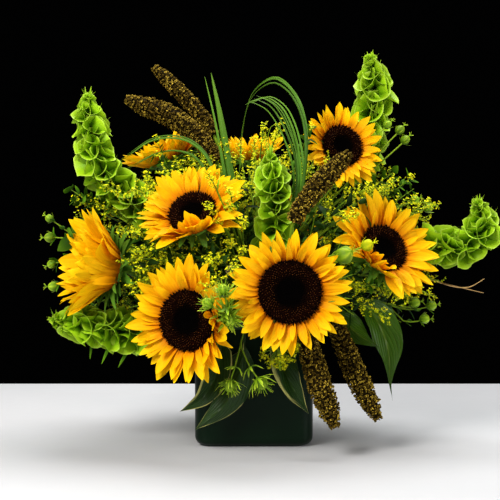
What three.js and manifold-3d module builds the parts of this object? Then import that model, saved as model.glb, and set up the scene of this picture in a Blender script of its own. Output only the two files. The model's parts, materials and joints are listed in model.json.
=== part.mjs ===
// A florist's arrangement in a square vase: nine sunflowers, bells of Ireland, millet heads, lily grass,
// goldenrod and other greens, each pushed by its own stem into a block of floral foam.
// Millimetres, +Z up. The origin is the centre of the vase's underside, and -Y is the front.
import * as THREE from 'three';
import { mergeVertices } from 'three/addons/utils/BufferGeometryUtils.js';
import Module from 'manifold-3d';

const wasm = await Module();
wasm.setup();

// ---- driving dimensions -------------------------------------------------------------------------

const GAP = 0.3; // between any two touching pieces
const VASE = { half: 63.5, height: 127, wall: 4, floor: 6, cornerRadius: 14, footRadius: 11 };
const FOAM = { half: VASE.half - VASE.wall - GAP, top: 154, chamfer: 10 };
const CORNER_STEPS = 4; // facets in each rounded corner of the vase and the foam

const STEM_SIDES = 6;
const RECEPTACLE = { depth: 13, lip: 3 }; // the green cup behind a sunflower's disc
const DISC = { sides: 16, height: 7, dimple: 2.5 };
const PETAL = { thickness: 1.4, collar: 2.5, curveSteps: 2 };

const COLOURS = {
  vase: 0x0d2a1b,
  foam: 0x2f5a35,
  stem: 0x4f7a22,
  petal: 0xffb300,
  disc: 0x22120a,
  bell: 0x7cc242,
  millet: 0x5a4318,
  grass: 0x2f7d1f,
  leaf: 0x1f4f1c,
  goldenrod: 0xb9c61a,
  pod: 0x7aa83c,
  twig: 0x7a5127,
};

// ---- the arrangement ----------------------------------------------------------------------------
// Every stem starts at a foot inside the foam. Directions are given as [x, y, z] and normalised later.

// at: centre of the disc's back. facing: the way the flower looks. disc: its radius. petal: ray length.
// lift: how far the rays rise out of the disc's plane, in degrees. fold: rays on one side that stand up,
// towards is the direction of that side and extra the degrees added there.
const SUNFLOWERS = [
  {
    at: [-67, -118, 143], facing: [-0.42, -0.9, 0.05], disc: 31, petal: 34, lift: 14, foot: [-33, -26, 137],
    fold: { towards: [1, -0.4, 0.1], extra: 46 },
  },
  { at: [36, -140, 174], facing: [0.03, -1, 0.04], disc: 32, petal: 31, lift: 10, foot: [14, -24, 132] },
  {
    at: [-64, -72, 250], facing: [-0.25, -0.78, 0.58], disc: 25.5, petal: 35, lift: 16, foot: [-25, -8, 112],
    fold: { towards: [0.25, -0.2, -1], extra: 62 },
  },
  {
    at: [-150, -54, 192], facing: [-0.9, -0.4, 0.2], disc: 20, petal: 54, lift: 56, foot: [-48, -12, 128],
    fold: { towards: [0.44, -0.88, 0], extra: 22 },
  },
  { at: [96, 2, 322], facing: [0.32, -0.88, 0.3], disc: 23, petal: 25, lift: 16, foot: [26, 14, 110] },
  {
    at: [137, -56, 212], facing: [0.42, -0.8, 0.42], disc: 26, petal: 37, lift: 16, foot: [48, -14, 122],
    fold: { towards: [-0.7, 0, -0.8], extra: 56 },
  },
  { at: [-98, 76, 308], facing: [-0.42, -0.06, 0.9], disc: 22, petal: 34, lift: 40, foot: [-26, 26, 114] },
  { at: [-3, 78, 310], facing: [0, -0.15, 1], disc: 20, petal: 27, lift: 52, foot: [-4, 34, 112] },
  { at: [34, 128, 205], facing: [0.2, 0.93, 0.32], disc: 30, petal: 36, lift: 14, foot: [16, 42, 120] },
];
const PETALS_PER_FLOWER = 18;

// route: from the foot to the tip. bells: where along the route the calyces start, as a share of it.
const BELL_SPIKES = [
  {
    route: [
      [-42, 8, 128], [-74, 8, 186], [-102, 6, 226], [-128, 6, 254], [-150, 4, 274],
      [-167, 2, 296], [-176, 2, 320], [-181, 6, 352], [-184, 10, 382],
    ],
    bells: 0.36, radius: 23,
  },
  {
    route: [
      [34, 30, 118], [66, 42, 190], [94, 50, 246], [110, 60, 288],
      [125, 66, 324], [135, 68, 358], [138, 68, 392], [132, 66, 428],
    ],
    bells: 0.58, radius: 26,
  },
  {
    route: [
      [52, 6, 134], [96, 12, 172], [150, 2, 205], [182, -8, 214],
      [206, -10, 212], [234, -10, 213], [251, -10, 232], [244, -10, 266],
    ],
    bells: 0.52, radius: 22,
  },
  {
    route: [
      [-50, -30, 141], [-88, -42, 127], [-120, -48, 122],
      [-150, -50, 126], [-186, -46, 131], [-222, -40, 137],
    ],
    bells: 0.34, radius: 22,
  },
  {
    route: [[4, -10, 120], [16, -40, 190], [23, -58, 246], [21, -58, 281], [16, -56, 316]],
    bells: 0.5, radius: 20,
  },
];
const WHORL = { pitch: 17, rise: 12 }; // rise: height of a calyx from its foot to its rim

// head: radius of the seed head at its thickest, starts: where along the route it begins.
const MILLETS = [
  {
    route: [[-12, 20, 122], [-22, 32, 230], [-46, 40, 338], [-68, 44, 368], [-112, 48, 412]],
    starts: 0.68, head: 7.8,
  },
  {
    route: [[-16, 6, 122], [-24, 14, 220], [-36, 20, 296], [-82, 25, 350], [-142, 28, 375]],
    starts: 0.6, head: 11.4,
  },
  {
    route: [[22, -28, 128], [34, -74, 190], [42, -96, 246], [66, -98, 280], [98, -98, 314]],
    starts: 0.6, head: 10.2,
  },
  {
    route: [[34, -40, 143], [46, -74, 146], [54, -96, 124], [65, -112, 84], [83, -124, 34]],
    starts: 0.36, head: 12.2,
  },
  {
    route: [[50, -34, 144], [74, -62, 150], [88, -76, 128], [106, -84, 84], [130, -90, 36]],
    starts: 0.32, head: 11.4,
  },
];

// width: across the blade at its widest. across: the direction that the blade's width keeps to.
const GRASS_BLADES = {
  grass_blade: {
    route: [[-10, -4, 128], [-20, -2, 240], [-36, 0, 350], [-47, 0, 403]],
    width: 9, across: [1, -0.2, 0],
  },
  grass_loop_1: {
    route: [
      [12, -2, 128], [44, -38, 230], [56, -48, 320], [55, -46, 345], [47, -42, 373],
      [23, -36, 396], [5, -30, 388], [-5, -24, 370], [-12, -16, 340], [-14, -8, 300],
    ],
    width: 5, across: [0.6, -1, 0],
  },
  grass_loop_2: {
    route: [
      [16, -16, 128], [40, -40, 230], [50, -46, 290], [42, -44, 340],
      [28, -40, 366], [10, -34, 375], [-6, -28, 368],
    ],
    width: 5, across: [0.8, -1, 0.2],
  },
  grass_loop_3: {
    route: [[22, -2, 128], [42, -24, 240], [46, -36, 300], [31, -44, 345], [17, -44, 365], [0, -40, 373]],
    width: 5, across: [0.8, -1, 0.1],
  },
  grass_arc_1: {
    route: [
      [-18, -22, 128], [-34, -28, 230], [-46, -26, 300],
      [-68, -22, 326], [-106, -18, 330], [-148, -14, 304],
    ],
    width: 5, across: [0.1, -1, 0.3],
  },
  grass_arc_2: {
    route: [
      [-26, -24, 128], [-40, -32, 220], [-50, -32, 290],
      [-70, -30, 314], [-100, -26, 316], [-138, -22, 298],
    ],
    width: 5, across: [0.1, -1, 0.3],
  },
};

// width: across the leaf. across: the direction that the leaf's width keeps to.
// starts: where along the route the blade begins.
const LEAVES = {
  leaf_right_large: {
    route: [
      [54, -4, 143], [84, -12, 158], [112, -30, 158], [134, -44, 132],
      [145, -50, 98], [146, -50, 70], [150, -48, 46],
    ],
    width: 40, starts: 0.34, across: [1, 0.3, 0.1],
  },
  leaf_right_small: {
    route: [
      [50, -22, 143], [76, -34, 148], [94, -48, 138],
      [108, -58, 124], [121, -64, 115], [134, -64, 108],
    ],
    width: 29, starts: 0.34, across: [0.35, 0.3, 0.9],
  },
  leaf_rim_left: {
    route: [
      [-30, -46, 143], [-33, -68, 139], [-34, -78, 112],
      [-41, -84, 80], [-54, -88, 58], [-78, -92, 44],
    ],
    width: 27, starts: 0.3, across: [0.65, 0, -0.75],
  },
  leaf_rim_front_left: {
    route: [[-8, -48, 143], [-9, -70, 139], [-11, -84, 110], [-16, -92, 78], [-32, -96, 50], [-62, -94, 25]],
    width: 34, starts: 0.3, across: [0.7, 0, -0.6],
  },
  leaf_rim_front_right: {
    route: [[22, -50, 143], [24, -72, 139], [28, -80, 106], [33, -85, 84], [43, -87, 64], [58, -84, 40]],
    width: 27, starts: 0.26, across: [0.8, 0, -0.4],
  },
};

// starts: where along the route the flowering sprays begin, reach: how long the lowest of them are.
const GOLDENRODS = [
  {
    route: [[-38, -6, 128], [-66, -16, 180], [-92, -26, 214], [-106, -30, 246], [-112, -32, 272]],
    starts: 0.52, reach: 30,
  },
  { route: [[4, 16, 124], [10, 24, 230], [14, 22, 290], [20, 12, 322]], starts: 0.55, reach: 40 },
  {
    route: [[38, 2, 124], [66, -10, 190], [88, -18, 232], [108, -20, 254], [132, -22, 270]],
    starts: 0.5, reach: 27,
  },
  { route: [[-12, 46, 128], [-44, 90, 180], [-68, 122, 232], [-78, 132, 290]], starts: 0.45, reach: 40 },
];
const GOLDENROD_SPRAYS = 5;

// A branching sprig: a stem, side branches that start on it, and a pod at the end of each.
const SPRIGS = {
  nigella_left: {
    stem: [[-52, 20, 134], [-120, 14, 172], [-176, 8, 204], [-204, 4, 226], [-226, 0, 242]],
    branches: [
      [[-188, 6, 213], [-208, 2, 222], [-226, 0, 222]],
      [[-170, 8, 201], [-196, 6, 200], [-224, 0, 190]],
      [[-150, 10, 190], [-190, 6, 176], [-222, -4, 168]],
    ],
    pod: 7, colour: COLOURS.pod,
  },
  nigella_right: {
    stem: [[54, -4, 128], [100, 8, 146], [140, 6, 150], [162, -2, 142], [176, -10, 152]],
    branches: [
      [[158, 0, 143], [178, -6, 142], [196, -12, 149]],
      [[150, 4, 146], [168, -6, 128], [188, -14, 133]],
    ],
    pod: 8, colour: COLOURS.pod,
  },
  thistle_low: {
    stem: [[-4, -48, 146], [-8, -78, 146], [-12, -104, 124], [-20, -115, 94], [-25, -119, 76]],
    branches: [[[-14, -108, 114], [-6, -114, 96], [7, -119, 77]]],
    pod: 8, colour: COLOURS.pod,
  },
  thistle_high: {
    stem: [[-10, -44, 150], [-16, -84, 158], [-24, -128, 154], [-25, -142, 150], [-24, -156, 143]],
    branches: [
      [[-25, -138, 152], [-28, -158, 160], [-31, -168, 181]],
      [[-25, -141, 150], [-30, -162, 154], [-47, -168, 165]],
    ],
    pod: 7, colour: COLOURS.pod,
  },
  fennel_umbel: {
    stem: [[6, -46, 146], [14, -74, 150], [20, -92, 136], [25, -104, 120], [27, -109, 105]],
    branches: [],
    pod: 14, colour: COLOURS.goldenrod,
  },
};
const TWIG = {
  route: [
    [50, 14, 140], [110, 24, 160], [170, 4, 176], [190, -16, 178],
    [214, -20, 170], [236, -20, 169], [252, -20, 178],
  ],
  radius: 1.6,
};

// ---- geometry helpers ---------------------------------------------------------------------------

const vector = (xyz) => new THREE.Vector3(...xyz);
const smoothCurve = (route) => new THREE.CatmullRomCurve3(route.map(vector), false, 'centripetal');

// The axis that a curve runs along least, so that a bar's sections don't turn as they follow it.
function steadiestAxis(curve) {
  const axes = [new THREE.Vector3(1, 0, 0), new THREE.Vector3(0, 1, 0), new THREE.Vector3(0, 0, 1)];
  const tangents = [0, 0.25, 0.5, 0.75, 1].map((share) => curve.getTangentAt(share));
  const worst = axes.map((axis) => Math.max(...tangents.map((tangent) => Math.abs(tangent.dot(axis)))));
  return axes[worst.indexOf(Math.min(...worst))];
}

// A round bar along a curve. profile is a list of [share of the curve's length, radius]. With a
// thickness the bar is pressed flat: its width stays twice the radius and keeps to the direction across.
function bar(curve, profile, { sides = STEM_SIDES, across = steadiestAxis(curve), thickness = 0 } = {}) {
  const outline = profile.map(([share, radius]) => new THREE.Vector2(radius, share));
  const foot = new THREE.Vector2(0, profile[0][0]);
  const tip = new THREE.Vector2(0, profile.at(-1)[0]);
  const geometry = new THREE.LatheGeometry([foot, ...outline, tip], sides);
  const position = geometry.attributes.position;
  for (let i = 0; i < position.count; i++) {
    const share = position.getY(i);
    const tangent = curve.getTangentAt(share);
    const width = across.clone().addScaledVector(tangent, -across.dot(tangent)).normalize();
    const face = width.clone().cross(tangent);
    const x = position.getX(i);
    const z = position.getZ(i);
    const depth = thickness ? (z / Math.max(Math.hypot(x, z), 1e-6)) * (thickness / 2) : z;
    const point = curve.getPointAt(share).addScaledVector(width, x).addScaledVector(face, depth);
    position.setXYZ(i, point.x, point.y, point.z);
  }
  return geometry;
}

// A closed solid of revolution about +Z that is squared: profile is a list of [half width, height].
function squaredLathe(profile, half, cornerRadius) {
  const perCorner = CORNER_STEPS + 1;
  const geometry = new THREE.LatheGeometry(profile.map(([w, z]) => new THREE.Vector2(w, z)), 4 * perCorner);
  const position = geometry.attributes.position;
  const core = half - cornerRadius;
  for (let i = 0; i < position.count; i++) {
    const column = Math.floor(i / profile.length) % (4 * perCorner);
    const [width, height] = profile[i % profile.length];
    const corner = Math.floor(column / perCorner);
    const turn = ((corner + (column % perCorner) / CORNER_STEPS) * Math.PI) / 2;
    const middle = ((corner + 0.5) * Math.PI) / 2;
    const inner = Math.min(core, width * 0.8);
    const x = Math.sign(Math.cos(middle)) * inner + (width - inner) * Math.cos(turn);
    const y = Math.sign(Math.sin(middle)) * inner + (width - inner) * Math.sin(turn);
    position.setXYZ(i, x, y, height);
  }
  return geometry;
}

function solidOf(geometry) {
  const bare = geometry.clone();
  bare.deleteAttribute('normal');
  bare.deleteAttribute('uv');
  const merged = mergeVertices(bare, 1e-3);
  return new wasm.Manifold(
    new wasm.Mesh({
      numProp: 3,
      vertProperties: new Float32Array(merged.attributes.position.array),
      triVerts: new Uint32Array(merged.index.array),
    }),
  );
}

function geometryOf(solid) {
  const mesh = solid.getMesh();
  const geometry = new THREE.BufferGeometry();
  geometry.setAttribute('position', new THREE.BufferAttribute(new Float32Array(mesh.vertProperties), 3));
  geometry.setIndex(new THREE.BufferAttribute(new Uint32Array(mesh.triVerts), 1));
  geometry.computeVertexNormals();
  return geometry;
}

const joined = (geometries) =>
  geometryOf(geometries.map(solidOf).reduce((whole, piece) => whole.add(piece)));

const arrangement = new THREE.Group();

function place(name, geometry, colour, roughness = 0.6, parent = arrangement) {
  const material = new THREE.MeshStandardMaterial({ color: colour, roughness, metalness: 0 });
  const mesh = new THREE.Mesh(geometry, material);
  mesh.name = name;
  parent.add(mesh);
  return mesh;
}

// ---- stems and what is on them ------------------------------------------------------------------

// Everything that is pushed into the foam, as its geometry a little larger, so that the foam clears it.
const holes = [];

// A stem-like piece and, for the foam, the same piece grown by the gap.
function planted(name, curve, profile, colour, options = {}) {
  const grown = profile.map(([share, radius]) => [share, radius + GAP]);
  const grownOptions = { ...options, thickness: options.thickness ? options.thickness + 2 * GAP : 0 };
  holes.push(bar(curve, grown, grownOptions));
  return place(name, bar(curve, profile, options), colour);
}

const evenly = (count, value) => Array.from({ length: count + 1 }, (_, i) => value(i / count));

function sunflowerStem(name, flower, facing) {
  const at = vector(flower.at).addScaledVector(facing, -GAP);
  const foot = vector(flower.foot);
  const reach = foot.distanceTo(at);
  const outward = new THREE.Vector3(0, 0, 1).lerp(at.clone().sub(foot).normalize(), 0.75);
  const curve = new THREE.CubicBezierCurve3(
    foot,
    foot.clone().addScaledVector(outward, reach * 0.4),
    at.clone().addScaledVector(facing, -reach * 0.3),
    at,
  );
  const length = curve.getLength();
  const radius = 0.11 * flower.disc + 0.6;
  const fromTop = (distance) => 1 - distance / length;
  const profile = [
    ...evenly(6, (t) => [t * fromTop(RECEPTACLE.depth), radius]),
    [fromTop(RECEPTACLE.depth * 0.5), flower.disc * 0.62],
    [1, flower.disc + RECEPTACLE.lip],
  ];
  planted(`${name}_stem`, curve, profile, COLOURS.stem, { sides: 8 });
}

// The disc: a low dome with a dimple in the middle, along the head's +Z.
function discGeometry(radius) {
  const { height, dimple, sides } = DISC;
  const profile = [
    [0, 0], [radius, 0], [radius, height * 0.4],
    [radius * 0.88, height], [radius * 0.5, height], [0, height - dimple],
  ];
  const outline = profile.map(([r, z]) => new THREE.Vector2(r, z));
  return new THREE.LatheGeometry(outline, sides).rotateX(Math.PI / 2);
}

// The ring of rays: a scalloped plate whose rays then rise out of its plane.
function petalGeometry(flower, foldAngle) {
  const inner = flower.disc + GAP;
  const base = inner + PETAL.collar;
  const step = (2 * Math.PI) / PETALS_PER_FLOWER;
  const at = (radius, angle) => new THREE.Vector2(radius * Math.cos(angle), radius * Math.sin(angle));
  const outline = new THREE.Shape();
  for (let i = 0; i < PETALS_PER_FLOWER; i++) {
    const middle = i * step;
    const length = flower.petal * (1 + 0.1 * Math.sin(2.4 * i));
    const valley = at(base, middle - step / 2);
    const tip = at(base + length, middle);
    const left = at(base + length * 0.5, middle - step * 0.7);
    const right = at(base + length * 0.5, middle + step * 0.7);
    const end = at(base, middle + step / 2);
    if (i === 0) outline.moveTo(valley.x, valley.y);
    outline.quadraticCurveTo(left.x, left.y, tip.x, tip.y);
    outline.quadraticCurveTo(right.x, right.y, end.x, end.y);
  }
  const hole = new THREE.Path();
  hole.setFromPoints(evenly(DISC.sides, (t) => at(inner / Math.cos(Math.PI / DISC.sides), -2 * Math.PI * t)));
  outline.holes.push(hole);
  const plate = new THREE.ExtrudeGeometry(outline, {
    depth: PETAL.thickness, bevelEnabled: false, curveSegments: PETAL.curveSteps,
  });
  const position = plate.attributes.position;
  for (let i = 0; i < position.count; i++) {
    const [x, y, z] = [position.getX(i), position.getY(i), position.getZ(i)];
    const radius = Math.hypot(x, y);
    const along = radius - base;
    if (along <= 0) continue;
    const angle = Math.atan2(y, x);
    const nearFold = Math.max(0, Math.cos(angle - foldAngle));
    const extra = flower.fold ? flower.fold.extra * nearFold ** 3 : 0;
    const lift = THREE.MathUtils.degToRad(flower.lift + extra);
    const outward = base + along * Math.cos(lift) - z * Math.sin(lift);
    const height = along * Math.sin(lift) + z * Math.cos(lift);
    position.setXYZ(i, (x / radius) * outward, (y / radius) * outward, height);
  }
  return plate;
}

function sunflower(flower, number) {
  const name = `sunflower_${number}`;
  const facing = vector(flower.facing).normalize();
  sunflowerStem(name, flower, facing);
  const head = new THREE.Group();
  head.position.copy(vector(flower.at));
  head.quaternion.setFromUnitVectors(new THREE.Vector3(0, 0, 1), facing);
  let foldAngle = 0;
  if (flower.fold) {
    const local = vector(flower.fold.towards).applyQuaternion(head.quaternion.clone().invert());
    foldAngle = Math.atan2(local.y, local.x);
  }
  place(`${name}_petals`, petalGeometry(flower, foldAngle), COLOURS.petal, 0.5, head);
  place(`${name}_disc`, discGeometry(flower.disc), COLOURS.disc, 0.9, head);
  arrangement.add(head);
}

// A spike of bells of Ireland: a stem with rings of cup-shaped calyces, smaller towards the tip.
function bellSpike(spike, number) {
  const curve = smoothCurve(spike.route);
  const length = curve.getLength();
  const stem = 2.4;
  const profile = evenly(4, (t) => [t * (spike.bells - 6 / length), stem]);
  const whorls = Math.floor((length * (1 - spike.bells)) / WHORL.pitch);
  for (let i = 0; i < whorls; i++) {
    const done = i / whorls;
    const foot = spike.bells + done * (1 - spike.bells);
    const rim = spike.radius * Math.min(1, 0.42 + 2 * (1 - done)) * (1 - 0.15 * done);
    profile.push(
      [foot, stem],
      [foot + (WHORL.rise * 0.4) / length, rim * 0.75],
      [foot + WHORL.rise / length, rim],
      [foot + (WHORL.rise * 0.7) / length, stem],
    );
  }
  profile.push([1, stem * 0.5]);
  planted(`bells_of_ireland_${number}`, curve, profile, COLOURS.bell, { sides: 8 });
}

function millet(stalk, number) {
  const curve = smoothCurve(stalk.route);
  const headShape = evenly(7, (t) => [
    stalk.starts + t * (1 - stalk.starts),
    stalk.head * (0.55 + 0.75 * Math.sin(Math.PI * (0.15 + 0.62 * t))) * (t < 1 ? 0.8 : 0.45),
  ]);
  const profile = [...evenly(4, (t) => [t * (stalk.starts - 0.03), 1.9]), ...headShape];
  planted(`millet_${number}`, curve, profile, COLOURS.millet, { sides: 8 });
}

function grassBlade(name, blade) {
  const half = blade.width / 2;
  const profile = evenly(14, (t) => [t, half * Math.min(1, 0.5 + 3 * t) * Math.sqrt(1.02 - t * t)]);
  const across = vector(blade.across);
  planted(name, smoothCurve(blade.route), profile, COLOURS.grass, { sides: 4, across, thickness: 1.2 });
}

function leaf(name, shape) {
  const blade = evenly(7, (t) => [
    shape.starts + t * (1 - shape.starts),
    Math.max(1, (shape.width / 2) * Math.sin(Math.PI * t ** 0.75) ** 0.8),
  ]);
  const profile = [...evenly(3, (t) => [t * (shape.starts - 0.04), 1.4]), ...blade];
  const across = vector(shape.across);
  planted(name, smoothCurve(shape.route), profile, COLOURS.leaf, { sides: 4, across, thickness: 2 });
}

// A goldenrod: a stem with arching sprays turned round it, shorter towards the top.
function goldenrod(plant, number) {
  const curve = smoothCurve(plant.route);
  const stem = evenly(6, (t) => [t, 1.7]);
  holes.push(bar(curve, stem.map(([share, radius]) => [share, radius + GAP])));
  const plume = (radius) => [[0, 1], [0.3, radius * 0.6], [0.65, radius], [0.9, radius * 0.7], [1, 1]];
  const pieces = [bar(curve, stem)];
  const top = curve.getPointAt(1);
  const topEnd = top.clone().addScaledVector(curve.getTangentAt(1), plant.reach * 0.7);
  pieces.push(bar(new THREE.LineCurve3(curve.getPointAt(0.97), topEnd), plume(plant.reach * 0.2)));
  for (let i = 0; i < GOLDENROD_SPRAYS; i++) {
    const done = i / GOLDENROD_SPRAYS;
    const share = plant.starts + done * (1 - plant.starts);
    const from = curve.getPointAt(share);
    const tangent = curve.getTangentAt(share);
    const reach = plant.reach * (1 - 0.45 * done);
    const side = new THREE.Vector3(1, 0, 0).cross(tangent).normalize().applyAxisAngle(tangent, 2.4 * i);
    const middle = from.clone().addScaledVector(side, reach * 0.45).addScaledVector(tangent, reach * 0.45);
    const end = from.clone().addScaledVector(side, reach * 0.9).addScaledVector(tangent, reach * 0.6);
    pieces.push(bar(new THREE.QuadraticBezierCurve3(from, middle, end), plume(reach * 0.22), { sides: 5 }));
  }
  place(`goldenrod_${number}`, joined(pieces), COLOURS.goldenrod);
}

function podAt(centre, radius) {
  return new THREE.OctahedronGeometry(radius, 1).translate(centre.x, centre.y, centre.z);
}

function sprig(name, { stem, branches, pod, colour }) {
  const stemCurve = smoothCurve(stem);
  const even = (radius) => evenly(8, (t) => [t, radius]);
  holes.push(bar(stemCurve, even(1.3 + GAP)));
  const pieces = [bar(stemCurve, even(1.3)), podAt(vector(stem.at(-1)), pod)];
  for (const branch of branches) {
    pieces.push(bar(smoothCurve(branch), evenly(4, (t) => [t, 0.9]), { sides: 5 }));
    pieces.push(podAt(vector(branch.at(-1)), pod * 0.85));
  }
  place(name, joined(pieces), colour);
}

// ---- the holder ---------------------------------------------------------------------------------

function vaseGeometry() {
  const { half, height, wall, floor, cornerRadius, footRadius } = VASE;
  const foot = evenly(3, (t) => [
    half - footRadius * (1 - Math.sin((t * Math.PI) / 2)),
    footRadius * (1 - Math.cos((t * Math.PI) / 2)),
  ]);
  const inside = half - wall;
  const profile = [
    [0, 0], ...foot, [half, height - 1], [half - 1, height],
    [inside + 1, height], [inside, height - 1], [inside, floor + 5], [inside - 5, floor], [0, floor],
  ];
  return squaredLathe(profile, half, cornerRadius);
}

function foamGeometry() {
  const { half, top, chamfer } = FOAM;
  const floor = VASE.floor + GAP;
  const profile = [
    [0, floor], [half - 5.5, floor], [half, floor + 5.5],
    [half, top - chamfer], [half - chamfer, top], [0, top],
  ];
  const block = solidOf(squaredLathe(profile, half, VASE.cornerRadius - VASE.wall));
  return geometryOf(holes.map(solidOf).reduce((foam, stem) => foam.subtract(stem), block));
}

// ---- assembly -----------------------------------------------------------------------------------

SUNFLOWERS.forEach((flower, i) => sunflower(flower, i + 1));
BELL_SPIKES.forEach((spike, i) => bellSpike(spike, i + 1));
MILLETS.forEach((stalk, i) => millet(stalk, i + 1));
GOLDENRODS.forEach((plant, i) => goldenrod(plant, i + 1));
Object.entries(GRASS_BLADES).forEach(([name, blade]) => grassBlade(name, blade));
Object.entries(LEAVES).forEach(([name, shape]) => leaf(name, shape));
Object.entries(SPRIGS).forEach(([name, shape]) => sprig(name, shape));
const twigProfile = evenly(12, (t) => [t, TWIG.radius * (1 - 0.6 * t)]);
planted('willow_twig', smoothCurve(TWIG.route), twigProfile, COLOURS.twig);
place('vase', vaseGeometry(), COLOURS.vase, 0.35);
place('floral_foam', foamGeometry(), COLOURS.foam, 0.95);

export default arrangement;
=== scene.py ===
"""The looks of a sunflower arrangement in a square vase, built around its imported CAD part.

Every flower, spike, blade and leaf reads its place, direction and size from its CAD node. The fine greens
between them fill the dome that those nodes span. Metres, +Z up, -Y is the front.
"""

import json
import math

import bpy
import numpy as np
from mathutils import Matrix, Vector

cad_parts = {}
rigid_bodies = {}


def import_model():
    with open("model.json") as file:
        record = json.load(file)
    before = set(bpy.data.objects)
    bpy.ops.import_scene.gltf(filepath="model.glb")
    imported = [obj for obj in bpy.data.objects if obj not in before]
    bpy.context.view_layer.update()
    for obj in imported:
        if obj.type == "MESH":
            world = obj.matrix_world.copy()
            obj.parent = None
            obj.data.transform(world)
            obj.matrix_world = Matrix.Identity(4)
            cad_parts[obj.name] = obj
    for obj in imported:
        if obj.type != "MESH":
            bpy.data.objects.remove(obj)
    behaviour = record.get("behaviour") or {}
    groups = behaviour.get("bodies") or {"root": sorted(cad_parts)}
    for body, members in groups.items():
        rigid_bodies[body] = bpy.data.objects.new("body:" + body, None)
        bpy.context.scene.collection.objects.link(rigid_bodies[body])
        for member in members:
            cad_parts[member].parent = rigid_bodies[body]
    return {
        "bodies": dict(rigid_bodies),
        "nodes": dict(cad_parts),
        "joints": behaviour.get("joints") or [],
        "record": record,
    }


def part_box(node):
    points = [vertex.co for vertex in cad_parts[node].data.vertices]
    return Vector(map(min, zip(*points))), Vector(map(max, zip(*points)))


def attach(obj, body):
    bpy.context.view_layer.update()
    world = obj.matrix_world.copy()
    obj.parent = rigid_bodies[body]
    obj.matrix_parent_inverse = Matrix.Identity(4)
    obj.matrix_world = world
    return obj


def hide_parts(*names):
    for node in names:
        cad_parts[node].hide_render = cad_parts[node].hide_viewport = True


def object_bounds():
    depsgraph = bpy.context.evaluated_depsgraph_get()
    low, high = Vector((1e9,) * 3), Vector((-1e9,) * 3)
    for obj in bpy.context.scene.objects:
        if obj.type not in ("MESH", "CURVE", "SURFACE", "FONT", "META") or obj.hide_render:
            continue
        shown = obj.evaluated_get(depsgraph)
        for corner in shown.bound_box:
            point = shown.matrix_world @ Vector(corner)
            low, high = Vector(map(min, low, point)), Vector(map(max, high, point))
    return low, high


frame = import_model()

cad_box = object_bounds()
rng = np.random.default_rng(11)
MM = 0.001
UP = np.array([0.0, 0.0, 1.0])
GOLDEN_ANGLE = math.pi * (3 - math.sqrt(5))


# ---- small vector helpers -----------------------------------------------------------------------


def unit(v):
    v = np.asarray(v, float)
    return v / np.maximum(np.linalg.norm(v, axis=-1, keepdims=True), 1e-12)


def turned(v, axis, angle):
    """v turned about a unit axis by angle, in radians. All three may be arrays."""
    c = np.cos(angle)[..., None] if np.ndim(angle) else math.cos(angle)
    s = np.sin(angle)[..., None] if np.ndim(angle) else math.sin(angle)
    along = np.sum(v * axis, axis=-1, keepdims=True)
    return v * c + np.cross(axis, v) * s + axis * along * (1 - c)


def square_to(direction, hint=None):
    """Two unit vectors square to direction and to each other, the first as near hint as it can be."""
    direction = unit(direction)
    if hint is None:
        hint = UP if abs(direction[2]) < 0.9 else np.array([0.0, -1.0, 0.0])
    first = unit(hint - direction * np.dot(hint, direction))
    return first, np.cross(direction, first)


def around(first, second, angle):
    """The direction at angle round from first towards second. An array of angles gives a row for each."""
    return np.multiply.outer(np.cos(angle), first) + np.multiply.outer(np.sin(angle), second)


def random_directions(count):
    return unit(rng.normal(size=(count, 3)))


def spread(count, low, high):
    return rng.uniform(low, high, count)


# ---- what the CAD nodes say ---------------------------------------------------------------------


def corners_of(node):
    """A CAD node's distinct corners, and for each one the set of corners that share an edge with it."""
    mesh = frame["nodes"][node].data
    flat = np.empty(len(mesh.vertices) * 3)
    mesh.vertices.foreach_get("co", flat)
    corners, index = np.unique(flat.reshape(-1, 3).round(5), axis=0, return_inverse=True)
    index = np.asarray(index).ravel()
    near = [set() for _ in corners]
    for face in mesh.polygons:
        around = [int(index[v]) for v in face.vertices]
        for a, b in zip(around, around[1:] + around[:1]):
            if a != b:
                near[a].add(b)
                near[b].add(a)
    return corners, near


foam_top = np.array([0.0, 0.0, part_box("floral_foam")[1][2]])


def sections(node):
    """The cross-sections of a CAD bar, from its foot to its tip: a list of arrays of corners, without its
    two end points. An end point is the middle of a flat cap, so it lies at the mean of its neighbours."""
    corners, near = corners_of(node)
    means = np.array([corners[list(n)].mean(axis=0) for n in near])
    ends = np.flatnonzero(np.linalg.norm(corners - means, axis=1) < 4e-5)
    foot = min(ends, key=lambda i: np.linalg.norm(corners[i] - foam_top))
    seen = {int(foot)}
    layer = [int(foot)]
    layers = []
    while layer:
        layers.append(corners[layer])
        ahead = sorted(set().union(*(near[i] for i in layer)) - seen)
        seen.update(ahead)
        layer = ahead
    return [part for part in layers if len(part) > 1]


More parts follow.
